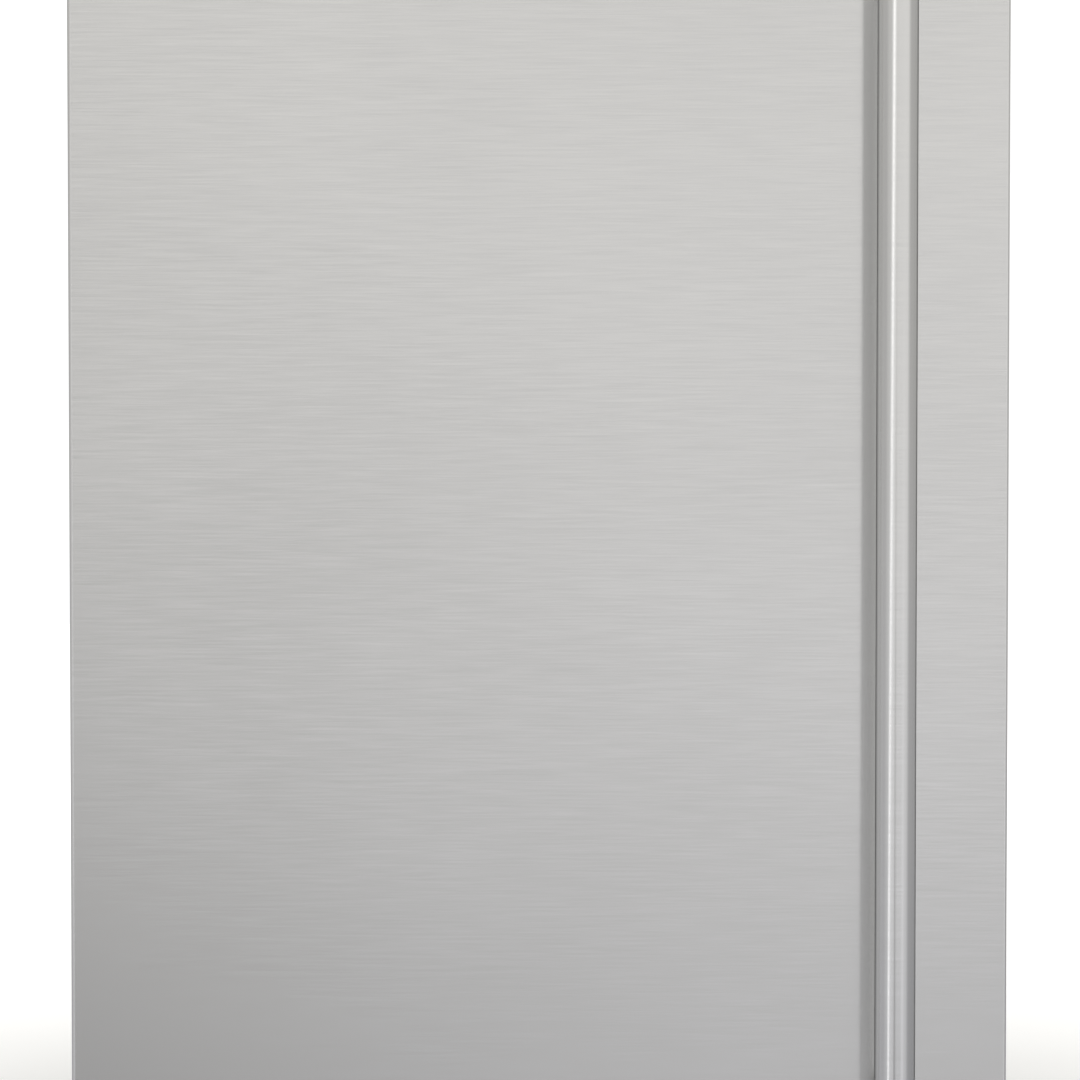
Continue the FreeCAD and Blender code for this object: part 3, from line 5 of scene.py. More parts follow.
import bmesh
import bpy
import numpy as np
from bpy.props import FloatProperty, FloatVectorProperty, IntProperty, PointerProperty
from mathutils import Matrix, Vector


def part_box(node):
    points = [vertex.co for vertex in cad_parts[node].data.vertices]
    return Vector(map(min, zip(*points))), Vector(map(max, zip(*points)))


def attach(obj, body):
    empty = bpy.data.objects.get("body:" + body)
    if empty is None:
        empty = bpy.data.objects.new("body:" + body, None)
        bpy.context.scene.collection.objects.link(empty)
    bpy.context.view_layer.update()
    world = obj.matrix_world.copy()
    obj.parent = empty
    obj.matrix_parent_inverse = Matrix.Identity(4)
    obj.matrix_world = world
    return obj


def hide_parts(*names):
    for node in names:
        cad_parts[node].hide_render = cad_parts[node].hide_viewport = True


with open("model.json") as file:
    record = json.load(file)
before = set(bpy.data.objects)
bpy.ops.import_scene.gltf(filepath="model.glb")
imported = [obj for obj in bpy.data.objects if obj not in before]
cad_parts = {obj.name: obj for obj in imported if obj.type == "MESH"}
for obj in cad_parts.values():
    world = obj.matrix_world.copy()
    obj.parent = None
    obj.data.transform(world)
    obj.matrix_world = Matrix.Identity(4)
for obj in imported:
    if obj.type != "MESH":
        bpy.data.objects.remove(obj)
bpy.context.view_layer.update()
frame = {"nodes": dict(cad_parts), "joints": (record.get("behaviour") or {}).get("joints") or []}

bl_info = {
    "name": "Undercounter Refrigerator",
    "version": (1, 0, 0),
    "blender": (4, 5, 0),
    "location": "View3D > Sidebar > Refrigerator",
    "description": "Finishes and fine pieces of an undercounter refrigerator with a tube handle",
    "category": "Object",
}

MM = 0.001
TURN = 2 * math.pi
BEND_REACH = 22.5 * MM  # how far a coil's bends stand out of its block of fins
TUBE_END = 14 * MM      # how far a coil's two ends reach past its straight runs
COIL_TUBE = 4 * MM      # radius of a coil's tube
COLLAR = 6.0 * MM       # how far the plunger's collar stands out of the control housing


# Colour and nodes

def linear(code, alpha=1.0):
    """An sRGB hex colour as linear red, green, blue and alpha."""
    values = [int(code[i:i + 2], 16) / 255 for i in (1, 3, 5)]
    return tuple(v / 12.92 if v <= 0.04045 else ((v + 0.055) / 1.055) ** 2.4 for v in values) + (alpha,)


def scaled(colour, factor):
    """A lighter or darker shade of a colour."""
    return tuple(min(1.0, c * factor) for c in tuple(colour)[:3]) + (1.0,)


def add(tree, kind, inputs=None, **settings):
    """Add a node with its settings. An input gets a plain value, or a link from an output or a node."""
    node = tree.nodes.new(kind)
    for name, value in settings.items():
        setattr(node, name, value)
    for key, value in (inputs or {}).items():
        by_name = [socket for socket in node.inputs if socket.enabled and socket.name == key]
        socket = by_name[0] if by_name else node.inputs[key]
        if isinstance(value, bpy.types.Node):
            value = next(output for output in value.outputs if output.enabled)
        if isinstance(value, bpy.types.NodeSocket):
            tree.links.new(value, socket)
        else:
            socket.default_value = value
    return node


def new_material(name):
    """An empty material, its node tree and its object coordinates, which are metres of the frame."""
    material = bpy.data.materials.new(name)
    material.use_nodes = True
    tree = material.node_tree
    tree.nodes.clear()
    return material, tree, add(tree, "ShaderNodeTexCoord").outputs["Object"]


# Materials

def brushed_stainless(name, along, colour, grit):
    """Stainless steel sheet ground by a belt: lines along X or Y, sharp reflections along them.

    A belt's scratches are 0.05 mm apart and some 40 mm long; they are drawn grit apart, as coarse as
    they need to show. The lines give the fine streaks, and the clouds the sheet's slow unevenness.
    The shader's tangent is across the lines, because that is the way the scratches scatter light.
    """
    material, tree, place = new_material(name)
    fine, long = 1 / grit, 1 / 0.040
    scale = {"X": (long, fine, fine), "Y": (fine, long, fine)}[along]
    stretched = add(tree, "ShaderNodeMapping", {"Vector": place, "Scale": scale})
    lines = add(tree, "ShaderNodeTexNoise", {
        "Vector": stretched, "Scale": 1.0, "Detail": 3.0, "Roughness": 0.6})
    clouds = add(tree, "ShaderNodeTexNoise", {"Vector": place, "Scale": 1 / 0.250, "Detail": 1.0})
    streaks = add(tree, "ShaderNodeMix", {
        "Factor": lines, "A": scaled(colour, 0.99), "B": scaled(colour, 1.01)}, data_type="RGBA")
    worn = add(tree, "ShaderNodeMix", {"Factor": 0.2, "A": lines, "B": clouds})
    haze = add(tree, "ShaderNodeMapRange", {
        "Value": worn, "From Min": 0.35, "From Max": 0.65, "To Min": 0.165, "To Max": 0.235})
    scratches = add(tree, "ShaderNodeBump", {"Height": lines, "Distance": 0.001 * MM, "Strength": 1.0})
    across = add(tree, "ShaderNodeCombineXYZ", {"X": 0.0, "Y": 0.02, "Z": 1.0})
    shader = add(tree, "ShaderNodeBsdfPrincipled", {
        "Base Color": streaks, "Metallic": 1.0, "Roughness": haze, "Anisotropic": 1.0,
        "Tangent": across, "Normal": scratches})
    add(tree, "ShaderNodeOutputMaterial", {"Surface": shader})
    return material


def ground_stainless_tube(colour):
    """Stainless tube ground as it turned: rings 0.4 mm apart, that draw a highlight out along it.

    The dark specular tint lowers what the steel reflects at a glancing angle: painted shade, for the
    dark line at the tube's edge.
    """
    material, tree, place = new_material("ground_stainless_tube")
    stretched = add(tree, "ShaderNodeMapping", {"Vector": place, "Scale": (30.0, 30.0, 1 / (0.4 * MM))})
    rings = add(tree, "ShaderNodeTexNoise", {"Vector": stretched, "Scale": 1.0, "Detail": 2.0})
    haze = add(tree, "ShaderNodeMapRange", {
        "Value": rings, "From Min": 0.3, "From Max": 0.7, "To Min": 0.15, "To Max": 0.22})
    scratches = add(tree, "ShaderNodeBump", {"Height": rings, "Distance": 0.0004 * MM, "Strength": 1.0})
    along = add(tree, "ShaderNodeCombineXYZ", {"X": 0.0, "Y": 0.02, "Z": 1.0})
    # the grey specular tint is painted shade: it darkens the tube's edges into a dark line
    shader = add(tree, "ShaderNodeBsdfPrincipled", {
        "Base Color": colour, "Metallic": 1.0, "Roughness": haze, "Anisotropic": 0.9,
        "Specular Tint": (0.12, 0.12, 0.12, 1.0), "Tangent": along, "Normal": scratches})
    add(tree, "ShaderNodeOutputMaterial", {"Surface": shader})
    return material


def galvanised_steel():
    """Hot-dip galvanised sheet: zinc frozen in flat spangles 9 mm across, each a shade of its own."""
    material, tree, place = new_material("galvanised_steel")
    spangles = add(tree, "ShaderNodeTexVoronoi", {"Vector": place, "Scale": 1 / (9 * MM)})
    shade = add(tree, "ShaderNodeSeparateColor", {"Color": spangles.outputs["Color"]})
    colour = add(tree, "ShaderNodeMix", {
        "Factor": shade, "A": linear("#C6CBCD"), "B": linear("#D8DCDE")}, data_type="RGBA")
    frost = add(tree, "ShaderNodeMapRange", {"Value": shade, "To Min": 0.36, "To Max": 0.48})
    shader = add(tree, "ShaderNodeBsdfPrincipled", {
        "Base Color": colour, "Metallic": 1.0, "Roughness": frost})
    add(tree, "ShaderNodeOutputMaterial", {"Surface": shader})
    return material


def zinc_plated_steel():
    """Screws, pins and nuts plated in a barrel: bright grey, clouded yellow in patches of 2.5 mm."""
    material, tree, place = new_material("zinc_plated_steel")
    cloud = add(tree, "ShaderNodeTexNoise", {"Vector": place, "Scale": 1 / (2.5 * MM), "Detail": 3.0})
    colour = add(tree, "ShaderNodeMix", {
        "Factor": cloud, "A": linear("#B9B6A8"), "B": linear("#CDCCC6")}, data_type="RGBA")
    haze = add(tree, "ShaderNodeMapRange", {"Value": cloud, "To Min": 0.22, "To Max": 0.42})
    shader = add(tree, "ShaderNodeBsdfPrincipled", {
        "Base Color": colour, "Metallic": 1.0, "Roughness": haze})
    add(tree, "ShaderNodeOutputMaterial", {"Surface": shader})
    return material


def powder_coated_steel():
    """Black powder coat, baked: satin, with an orange peel 0.8 mm across that breaks its highlights."""
    material, tree, place = new_material("black_powder_coat")
    peel = add(tree, "ShaderNodeTexNoise", {"Vector": place, "Scale": 1 / (0.8 * MM), "Detail": 1.0})
    satin = add(tree, "ShaderNodeMapRange", {"Value": peel, "To Min": 0.36, "To Max": 0.50})
    dimples = add(tree, "ShaderNodeBump", {"Height": peel, "Distance": 0.05 * MM, "Strength": 1.0})
    shader = add(tree, "ShaderNodeBsdfPrincipled", {
        "Base Color": linear("#17181A"), "Roughness": satin, "IOR": 1.5, "Normal": dimples})
    add(tree, "ShaderNodeOutputMaterial", {"Surface": shader})
    return material


def moulded_plastic(name, low, high, roughness, grain):
    """Injection-moulded plastic, dulled and dappled by its mould's etched grain, a pitch in metres."""
    material, tree, place = new_material(name)
    texture = add(tree, "ShaderNodeTexNoise", {
        "Vector": place, "Scale": 1 / grain, "Detail": 2.0, "Roughness": 0.6})
    colour = add(tree, "ShaderNodeMix", {"Factor": texture, "A": low, "B": high}, data_type="RGBA")
    dull = add(tree, "ShaderNodeMapRange", {
        "Value": texture, "To Min": roughness - 0.07, "To Max": roughness + 0.07})
    etched = add(tree, "ShaderNodeBump", {"Height": texture, "Distance": grain * 0.05, "Strength": 1.0})
    shader = add(tree, "ShaderNodeBsdfPrincipled", {
        "Base Color": colour, "Roughness": dull, "IOR": 1.53, "Normal": etched})
    add(tree, "ShaderNodeOutputMaterial", {"Surface": shader})
    return material


def thermoformed_plastic(colour):
    """White polystyrene drawn over a mould: glossy, with waves 14 mm long in its reflections."""
    material, tree, place = new_material("thermoformed_polystyrene")
    waves = add(tree, "ShaderNodeTexNoise", {"Vector": place, "Scale": 1 / (14 * MM), "Detail": 1.0})
    pores = add(tree, "ShaderNodeTexNoise", {"Vector": place, "Scale": 1 / (1.6 * MM), "Detail": 2.0})
    gloss = add(tree, "ShaderNodeMapRange", {"Value": pores, "To Min": 0.20, "To Max": 0.34})
    drawn = add(tree, "ShaderNodeBump", {"Height": waves, "Distance": 0.10 * MM, "Strength": 1.0})
    shader = add(tree, "ShaderNodeBsdfPrincipled", {
        "Base Color": colour, "Roughness": gloss, "IOR": 1.59, "Normal": drawn})
    add(tree, "ShaderNodeOutputMaterial", {"Surface": shader})
    return material


def foamed_polyurethane():
    """Rigid foam, yellowed, with open cells 1 mm across where it is cut."""
    material, tree, place = new_material("rigid_polyurethane_foam")
    cells = add(tree, "ShaderNodeTexVoronoi", {"Vector": place, "Scale": 1 / (1.0 * MM)})
    colour = add(tree, "ShaderNodeMix", {
        "Factor": cells, "A": linear("#E6D59A"), "B": linear("#C9B36C")}, data_type="RGBA")
    pits = add(tree, "ShaderNodeBump", {"Height": cells, "Distance": 0.3 * MM, "Strength": 1.0})
    shader = add(tree, "ShaderNodeBsdfPrincipled", {
        "Base Color": colour, "Roughness": 0.95, "Normal": pits})
    add(tree, "ShaderNodeOutputMaterial", {"Surface": shader})
    return material


def extruded_vinyl(colour):
    """Soft magnetic gasket: dull vinyl with the skin that a die leaves, 0.7 mm across."""
    material, tree, place = new_material("extruded_vinyl")
    skin = add(tree, "ShaderNodeTexNoise", {"Vector": place, "Scale": 1 / (0.7 * MM), "Detail": 2.0})
    tone = add(tree, "ShaderNodeMix", {
        "Factor": skin, "A": scaled(colour, 0.9), "B": scaled(colour, 1.1)}, data_type="RGBA")
    dull = add(tree, "ShaderNodeMapRange", {"Value": skin, "To Min": 0.40, "To Max": 0.56})
    drag = add(tree, "ShaderNodeBump", {"Height": skin, "Distance": 0.02 * MM, "Strength": 1.0})
    shader = add(tree, "ShaderNodeBsdfPrincipled", {
        "Base Color": tone, "Roughness": dull, "IOR": 1.54, "Normal": drag})
    add(tree, "ShaderNodeOutputMaterial", {"Surface": shader})
    return material


def nickel_chrome_wire():
    """Shelf wire, welded and then plated: bright, rippled where the plate lies on drawn wire."""
    material, tree, place = new_material("plated_wire")
    ripple = add(tree, "ShaderNodeTexNoise", {"Vector": place, "Scale": 1 / (3 * MM), "Detail": 2.0})
    haze = add(tree, "ShaderNodeMapRange", {"Value": ripple, "To Min": 0.07, "To Max": 0.20})
    uneven = add(tree, "ShaderNodeBump", {"Height": ripple, "Distance": 0.02 * MM, "Strength": 1.0})
    shader = add(tree, "ShaderNodeBsdfPrincipled", {
        "Base Color": linear("#D8DADC"), "Metallic": 1.0, "Roughness": haze, "Normal": uneven})
    add(tree, "ShaderNodeOutputMaterial", {"Surface": shader})
    return material


def frosted_polycarbonate():
    """Lamp diffuser: milky polycarbonate, its moulded frost 0.8 mm across, that hides the lamps."""
    material, tree, place = new_material("frosted_polycarbonate")
    frost = add(tree, "ShaderNodeTexNoise", {"Vector": place, "Scale": 1 / (0.8 * MM), "Detail": 2.0})
    haze = add(tree, "ShaderNodeMapRange", {"Value": frost, "To Min": 0.42, "To Max": 0.60})
    etched = add(tree, "ShaderNodeBump", {"Height": frost, "Distance": 0.03 * MM, "Strength": 1.0})
    shader = add(tree, "ShaderNodeBsdfPrincipled", {
        "Base Color": linear("#F6F8F6"), "Roughness": haze, "IOR": 1.58,
        "Transmission Weight": 0.55, "Normal": etched})
    add(tree, "ShaderNodeOutputMaterial", {"Surface": shader})
    return material


def drawn_copper():
    """Copper tube: drawn bright, and gone brown in patches 6 mm across where it was brazed."""
    material, tree, place = new_material("drawn_copper")
    patches = add(tree, "ShaderNodeTexNoise", {
        "Vector": place, "Scale": 1 / (6 * MM), "Detail": 3.0, "Roughness": 0.6})
    colour = add(tree, "ShaderNodeMix", {
        "Factor": patches, "A": linear("#B06F4A"), "B": linear("#D9A07C")}, data_type="RGBA")
    haze = add(tree, "ShaderNodeMapRange", {"Value": patches, "To Min": 0.42, "To Max": 0.20})
    shader = add(tree, "ShaderNodeBsdfPrincipled", {
        "Base Color": colour, "Metallic": 1.0, "Roughness": haze})
    add(tree, "ShaderNodeOutputMaterial", {"Surface": shader})
    return material


def rolled_aluminium():
    """Fin stock: thin bright aluminium, streaked by rolling lines 0.5 mm apart."""
    material, tree, place = new_material("rolled_aluminium")
    stretched = add(tree, "ShaderNodeMapping", {
        "Vector": place, "Scale": (1 / (0.5 * MM), 1 / (0.5 * MM), 1 / (20 * MM))})
    lines = add(tree, "ShaderNodeTexNoise", {"Vector": stretched, "Scale": 1.0, "Detail": 2.0})
    haze = add(tree, "ShaderNodeMapRange", {"Value": lines, "To Min": 0.26, "To Max": 0.44})
    shader = add(tree, "ShaderNodeBsdfPrincipled", {
        "Base Color": linear("#CDD0D2"), "Metallic": 1.0, "Roughness": haze})
    add(tree, "ShaderNodeOutputMaterial", {"Surface": shader})
    return material


def stoved_enamel():
    """Compressor's black enamel, dipped and stoved: a glossy coat with slow waves 7 mm across."""
    material, tree, place = new_material("black_stoved_enamel")
    waves = add(tree, "ShaderNodeTexNoise", {"Vector": place, "Scale": 1 / (7 * MM), "Detail": 2.0})
    gloss = add(tree, "ShaderNodeMapRange", {"Value": waves, "To Min": 0.18, "To Max": 0.32})
    runs = add(tree, "ShaderNodeBump", {"Height": waves, "Distance": 0.08 * MM, "Strength": 1.0})
    shader = add(tree, "ShaderNodeBsdfPrincipled", {
        "Base Color": linear("#0E0F10"), "Roughness": gloss, "IOR": 1.52, "Coat Weight": 0.4,
        "Coat Roughness": 0.12, "Normal": runs})
    add(tree, "ShaderNodeOutputMaterial", {"Surface": shader})
    return material


def laminated_core():
    """Motor core: varnished steel leaves, drawn 1.2 mm thick, that show as dark lines across Y."""
    material, tree, place = new_material("varnished_laminations")
    # a wave's bands repeat every TURN / (20 * scale) metres
    leaves = add(tree, "ShaderNodeTexWave", {
        "Vector": place, "Scale": TURN / 20 / (1.2 * MM), "Distortion": 0.0}, bands_direction="Y")
    colour = add(tree, "ShaderNodeMix", {
        "Factor": leaves.outputs["Fac"], "A": linear("#26272A"), "B": linear("#55585C")},
        data_type="RGBA")
    steps = add(tree, "ShaderNodeBump", {
        "Height": leaves.outputs["Fac"], "Distance": 0.08 * MM, "Strength": 1.0})
    shader = add(tree, "ShaderNodeBsdfPrincipled", {
        "Base Color": colour, "Metallic": 0.6, "Roughness": 0.45, "Normal": steps})
    add(tree, "ShaderNodeOutputMaterial", {"Surface": shader})
    return material


def solder_mask():
    """White solder mask on an aluminium board: satin, faintly uneven over 1.5 mm."""
    material, tree, place = new_material("white_solder_mask")
    weave = add(tree, "ShaderNodeTexNoise", {"Vector": place, "Scale": 1 / (1.5 * MM), "Detail": 1.0})
    colour = add(tree, "ShaderNodeMix", {
        "Factor": weave, "A": linear("#ECEDE8"), "B": linear("#F7F7F4")}, data_type="RGBA")
    shader = add(tree, "ShaderNodeBsdfPrincipled", {
        "Base Color": colour, "Roughness": 0.35, "IOR": 1.5})
    add(tree, "ShaderNodeOutputMaterial", {"Surface": shader})
    return material


def printed_ink(name, colour):
    """Pad-printed ink: matt, thinner in the pinholes that the pad leaves 0.4 mm apart."""
    material, tree, place = new_material(name)
    dots = add(tree, "ShaderNodeTexNoise", {"Vector": place, "Scale": 1 / (0.4 * MM), "Detail": 1.0})
    tone = add(tree, "ShaderNodeMix", {
        "Factor": dots, "A": scaled(colour, 0.85), "B": scaled(colour, 1.15)}, data_type="RGBA")
    shader = add(tree, "ShaderNodeBsdfPrincipled", {"Base Color": tone, "Roughness": 0.6})
    add(tree, "ShaderNodeOutputMaterial", {"Surface": shader})
    return material


def studio_paper():
    """Seamless white paper: matt, faintly uneven, and aglow far away, so it fades into the white."""
    material, tree, place = new_material("studio_paper")
    slow = add(tree, "ShaderNodeTexNoise", {"Vector": place, "Scale": 1 / 0.200, "Detail": 1.0})
    colour = add(tree, "ShaderNodeMix", {
        "Factor": slow, "A": linear("#F2F2F0"), "B": linear("#F6F6F4")}, data_type="RGBA")
    away = add(tree, "ShaderNodeVectorMath", {0: place}, operation="LENGTH")
    glow = add(tree, "ShaderNodeMapRange", {
        "Value": away, "From Min": 0.3, "From Max": 1.8, "To Min": 0.0, "To Max": 0.7})
    shader = add(tree, "ShaderNodeBsdfPrincipled", {
        "Base Color": colour, "Roughness": 0.9, "Specular IOR Level": 0.1,
        "Emission Color": (1.0, 1.0, 1.0, 1.0), "Emission Strength": glow})
    add(tree, "ShaderNodeOutputMaterial", {"Surface": shader})
    return material


# Shapes: every one is a grid of points worked out at once

def shell(grid, wrap=False, lids=False):
    """Points and faces of a grid; wrap joins its last column to the first, lids close its two ends."""
    rows, columns = grid.shape[:2]
    index = np.arange(rows * columns).reshape(rows, columns)
    if wrap:
        index = np.hstack([index, index[:, :1]])
    quads = np.stack([index[:-1, :-1], index[:-1, 1:], index[1:, 1:], index[1:, :-1]], -1)
    faces = quads.reshape(-1, 4).tolist()
    if lids:
        faces += [index[0, :columns].tolist(), index[-1, :columns].tolist()]
    return grid.reshape(-1, 3), faces


def together(shells):
    """Several shells as one list of points and one of faces."""
    points, faces, first = [], [], 0
    for some_points, some_faces in shells:
        points.append(some_points)
        faces += [[i + first for i in face] for face in some_faces]
        first += len(some_points)
    return np.concatenate(points), faces


def repeated(one, offsets):
    """The same shell at each offset: point + offset. Its faces all have as many corners."""
    points, faces = one
    moved = (points[None] + np.asarray(offsets)[:, None]).reshape(-1, 3)
    shifted = (np.asarray(faces)[None] + (np.arange(len(offsets)) * len(points))[:, None, None])
    return moved, shifted.reshape(-1, len(faces[0])).tolist()


def closed_mesh(name, shells, material, smooth=30):
    """A mesh object from shells, their seams and poles merged; sharper edges than smooth stay sharp."""
    points, faces = together(shells)
    mesh = bpy.data.meshes.new(name)
    mesh.from_pydata(points.tolist(), [], faces)
    mesh.materials.append(material)
    edit = bmesh.new()
    edit.from_mesh(mesh)
    bmesh.ops.remove_doubles(edit, verts=edit.verts, dist=0.001 * MM)
    bmesh.ops.recalc_face_normals(edit, faces=edit.faces)
    edit.to_mesh(mesh)
    edit.free()
    mesh.polygons.foreach_set("use_smooth", np.ones(len(mesh.polygons), bool))
    mesh.set_sharp_from_angle(angle=math.radians(smooth))
    made = bpy.data.objects.new(name, mesh)
    bpy.context.scene.collection.objects.link(made)
    return made


def make_piece(name, shells, body, material, instead_of=(), smooth=30):
    """A closed mesh that rides on a body, in the finish of a slot, and may stand for frame nodes."""
    piece = closed_mesh(name, shells, material, smooth)
    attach(piece, body)
    if instead_of:
        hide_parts(*instead_of)
    return piece


def turned(profile, centre, axis, steps=64):
    """A surface of revolution: each (radius, height) of the profile goes round an axis, Y or Z.

    point = centre + radius * (cos a, sin a) across the axis + height along it.
    """
    profile = np.asarray(profile, float)
    angle = np.linspace(0, TURN, steps, endpoint=False)
    radius, height = profile[:, 0, None], profile[:, 1, None]
    a, b = radius * np.cos(angle), radius * np.sin(angle)
    h = height + 0 * angle
    order = (a, h, b) if axis == "Y" else (a, b, h)
    return np.stack(order, -1) + np.asarray(centre)


def smooth_loop(points, rounds=2):
    """Cuts a closed outline's corners: each side keeps its points at 1/4 and 3/4 of its length."""
    loop = np.asarray(points, float)
    for _ in range(rounds):
        after = np.roll(loop, -1, 0)
        loop = np.stack([0.75 * loop + 0.25 * after, 0.25 * loop + 0.75 * after], 1).reshape(-1, 2)
    return loop


def tube(path, radius, across, sides=16):
    """A round tube along a flat path: point = path + radius * (cos a * side + sin a * across)."""
    path = np.asarray(path, float)
    along = np.gradient(path, axis=0)
    along /= np.linalg.norm(along, axis=1, keepdims=True)
    side = np.cross(along, across)
    angle = np.linspace(0, TURN, sides, endpoint=False)[None, :, None]
    ring = np.cos(angle) * side[:, None] + np.sin(angle) * np.asarray(across, float)
    return path[:, None] + radius * ring


def serpentine(centre, half, pitch, passes, bend_steps=12):
    """A flat path to and fro along X: straight runs at one pitch, joined by half circles."""
    low = centre[2] - pitch * (passes - 1) / 2
    level = low + pitch * np.arange(passes)
    turn = np.linspace(-math.pi / 2, math.pi / 2, bend_steps)
    pieces = [np.array([[centre[0] + half + TUBE_END, centre[1], level[0]]])]
    for i in range(passes - 1):
        way = -1 if i % 2 == 0 else 1
        x = centre[0] + way * (half + pitch * np.cos(turn) / 2)
        z = level[i] + pitch / 2 + pitch * np.sin(turn) / 2
        pieces.append(np.stack([x, np.full_like(x, centre[1]), z], -1))
    pieces.append(np.array([[centre[0] + half + TUBE_END, centre[1], level[-1]]]))
    return np.concatenate(pieces)


def paint(material, *nodes):
    """Give frame nodes a material in place of their plain one."""
    for name in nodes:
        slots = frame["nodes"][name].data.materials
        slots.clear()
        slots.append(material)


# Settings

class RefrigeratorFinish(bpy.types.PropertyGroup):
    steel: FloatVectorProperty(
        name="Stainless Sheet", description="Colour that brushed stainless sheet reflects",
        subtype="COLOR", size=4, default=linear("#F4F4F3"))
    tube: FloatVectorProperty(
        name="Stainless Tube", description="Colour that the handle's tube reflects",
        subtype="COLOR", size=4, default=linear("#F0F0EF"))
    liner: FloatVectorProperty(
        name="Liner", description="Colour of the moulded inside",
        subtype="COLOR", size=4, default=linear("#ECEEEE"))
    gasket: FloatVectorProperty(
        name="Gasket", description="Colour of the door's gasket",
        subtype="COLOR", size=4, default=linear("#5C6063"))
    grit: FloatProperty(
        name="Grain Spacing", description="Distance at which the belt's scratches are drawn",
        subtype="DISTANCE", unit="LENGTH", default=0.5 * MM)


class RefrigeratorSizes(bpy.types.PropertyGroup):
    fin_pitch_cold: FloatProperty(
        name="Evaporator Fin Pitch", description="Distance between the cold coil's fins",
        subtype="DISTANCE", unit="LENGTH", default=4.0 * MM)
    fin_pitch_warm: FloatProperty(
        name="Condenser Fin Pitch", description="Distance between the warm coil's fins",
        subtype="DISTANCE", unit="LENGTH", default=2.5 * MM)
    fin_thickness: FloatProperty(
        name="Fin Thickness", description="Thickness at which fins are drawn",
        subtype="DISTANCE", unit="LENGTH", default=0.25 * MM)
    thread_pitch: FloatProperty(
        name="Foot Thread Pitch", description="Advance of a levelling foot's thread per turn",
        subtype="DISTANCE", unit="LENGTH", default=1.5 * MM)
    knob_flutes: IntProperty(
        name="Knob Flutes", description="Grooves round the thermostat's knob", default=14)


class StudioSettings(bpy.types.PropertyGroup):
    distance: FloatProperty(
        name="Camera Distance", description="From the camera to the door's face",
        subtype="DISTANCE", unit="LENGTH", default=2.230)
    tilt: FloatProperty(
        name="Camera Tilt", description="How far the camera looks down",
        subtype="ANGLE", unit="ROTATION", default=math.radians(1.976))
    lens: FloatProperty(
        name="Lens", description="Focal length in millimetres", default=116.83)
    aim: FloatVectorProperty(
        name="Aim", description="Point of the door's face in the middle of the picture",
        subtype="XYZ", unit="LENGTH", size=3, default=(0.7 * MM, -0.26315, 0.471))
    sky: FloatProperty(
        name="Sky", description="Brightness of the light from all round", default=0.762)


# Operators: finishes

class FinishSheetMetal(bpy.types.Operator):
    """Brushed, galvanised and powder-coated sheet, and everything that is plated"""
    bl_idname = "refrigerator.finish_sheet_metal"
    bl_label = "Finish Sheet Metal"

    def execute(self, context):
        finish = context.scene.refrigerator_finish
        front = brushed_stainless("brushed_stainless_sheet", "X", finish.steel, finish.grit)
        sides = brushed_stainless("brushed_stainless_side_sheet", "Y", finish.steel, finish.grit)
        paint(front, "door_skin", "top_panel")
        paint(sides, "side_panel_left", "side_panel_right")
        paint(ground_stainless_tube(finish.tube), "handle_bar", "handle_end_caps", "handle_posts")
        paint(galvanised_steel(), "bottom_panel", "rear_panel", "base_pan", "machine_cover",
              "condenser_shroud")
        paint(powder_coated_steel(), "toe_grille")
        paint(zinc_plated_steel(), "top_hinge", "bottom_hinge", "hinge_screws", "cover_screws",
              "foot_nuts", "compressor_bolts", "handle_screws")
        paint(nickel_chrome_wire(), "shelf_top", "shelf_middle", "shelf_bottom")
        return {"FINISHED"}


class FinishPlastics(bpy.types.Operator):
    """Moulded, thermoformed and foamed plastics"""
    bl_idname = "refrigerator.finish_plastics"
    bl_label = "Finish Plastics"

    def execute(self, context):
        finish = context.scene.refrigerator_finish
        paint(thermoformed_plastic(finish.liner), "inner_liner", "door_liner")
        paint(moulded_plastic("white_moulded_polystyrene", linear("#E6E9EA"), linear("#EFF1F1"),
                              0.36, 0.9 * MM),
              "control_housing", "evaporator_cover", "door_switch_plunger", "drain_tube")
        paint(moulded_plastic("black_moulded_polypropylene", linear("#121315"), linear("#1D1E20"),
                              0.5, 0.7 * MM),
              "hinge_cover", "door_end_caps", "rear_spacers", "power_inlet", "thermostat",
              "door_switch", "compressor_relay_cover", "drain_pan")
        paint(moulded_plastic("natural_nylon", linear("#CFC8B4"), linear("#E0DACA"), 0.4, 1.2 * MM),
              "hinge_bushes")
        paint(foamed_polyurethane(), "cabinet_foam", "door_foam")
        paint(moulded_plastic("mount_rubber", linear("#161616"), linear("#232323"), 0.78, 0.6 * MM),
              "compressor_grommets")
        paint(frosted_polycarbonate(), "lamp_lens")
        paint(solder_mask(), "lamp_board")
        return {"FINISHED"}


class FinishRefrigeration(bpy.types.Operator):
    """Compressor, motors and copper tubes"""
    bl_idname = "refrigerator.finish_refrigeration"
    bl_label = "Finish Refrigeration Unit"

    def execute(self, context):
        paint(stoved_enamel(), "compressor_lower_shell", "compressor_upper_shell")
        paint(laminated_core(), "compressor_pump", "evaporator_fan_motor", "condenser_fan_motor")
        paint(drawn_copper(), "filter_drier", "refrigerant_lines")
        return {"FINISHED"}


# Operators: pieces

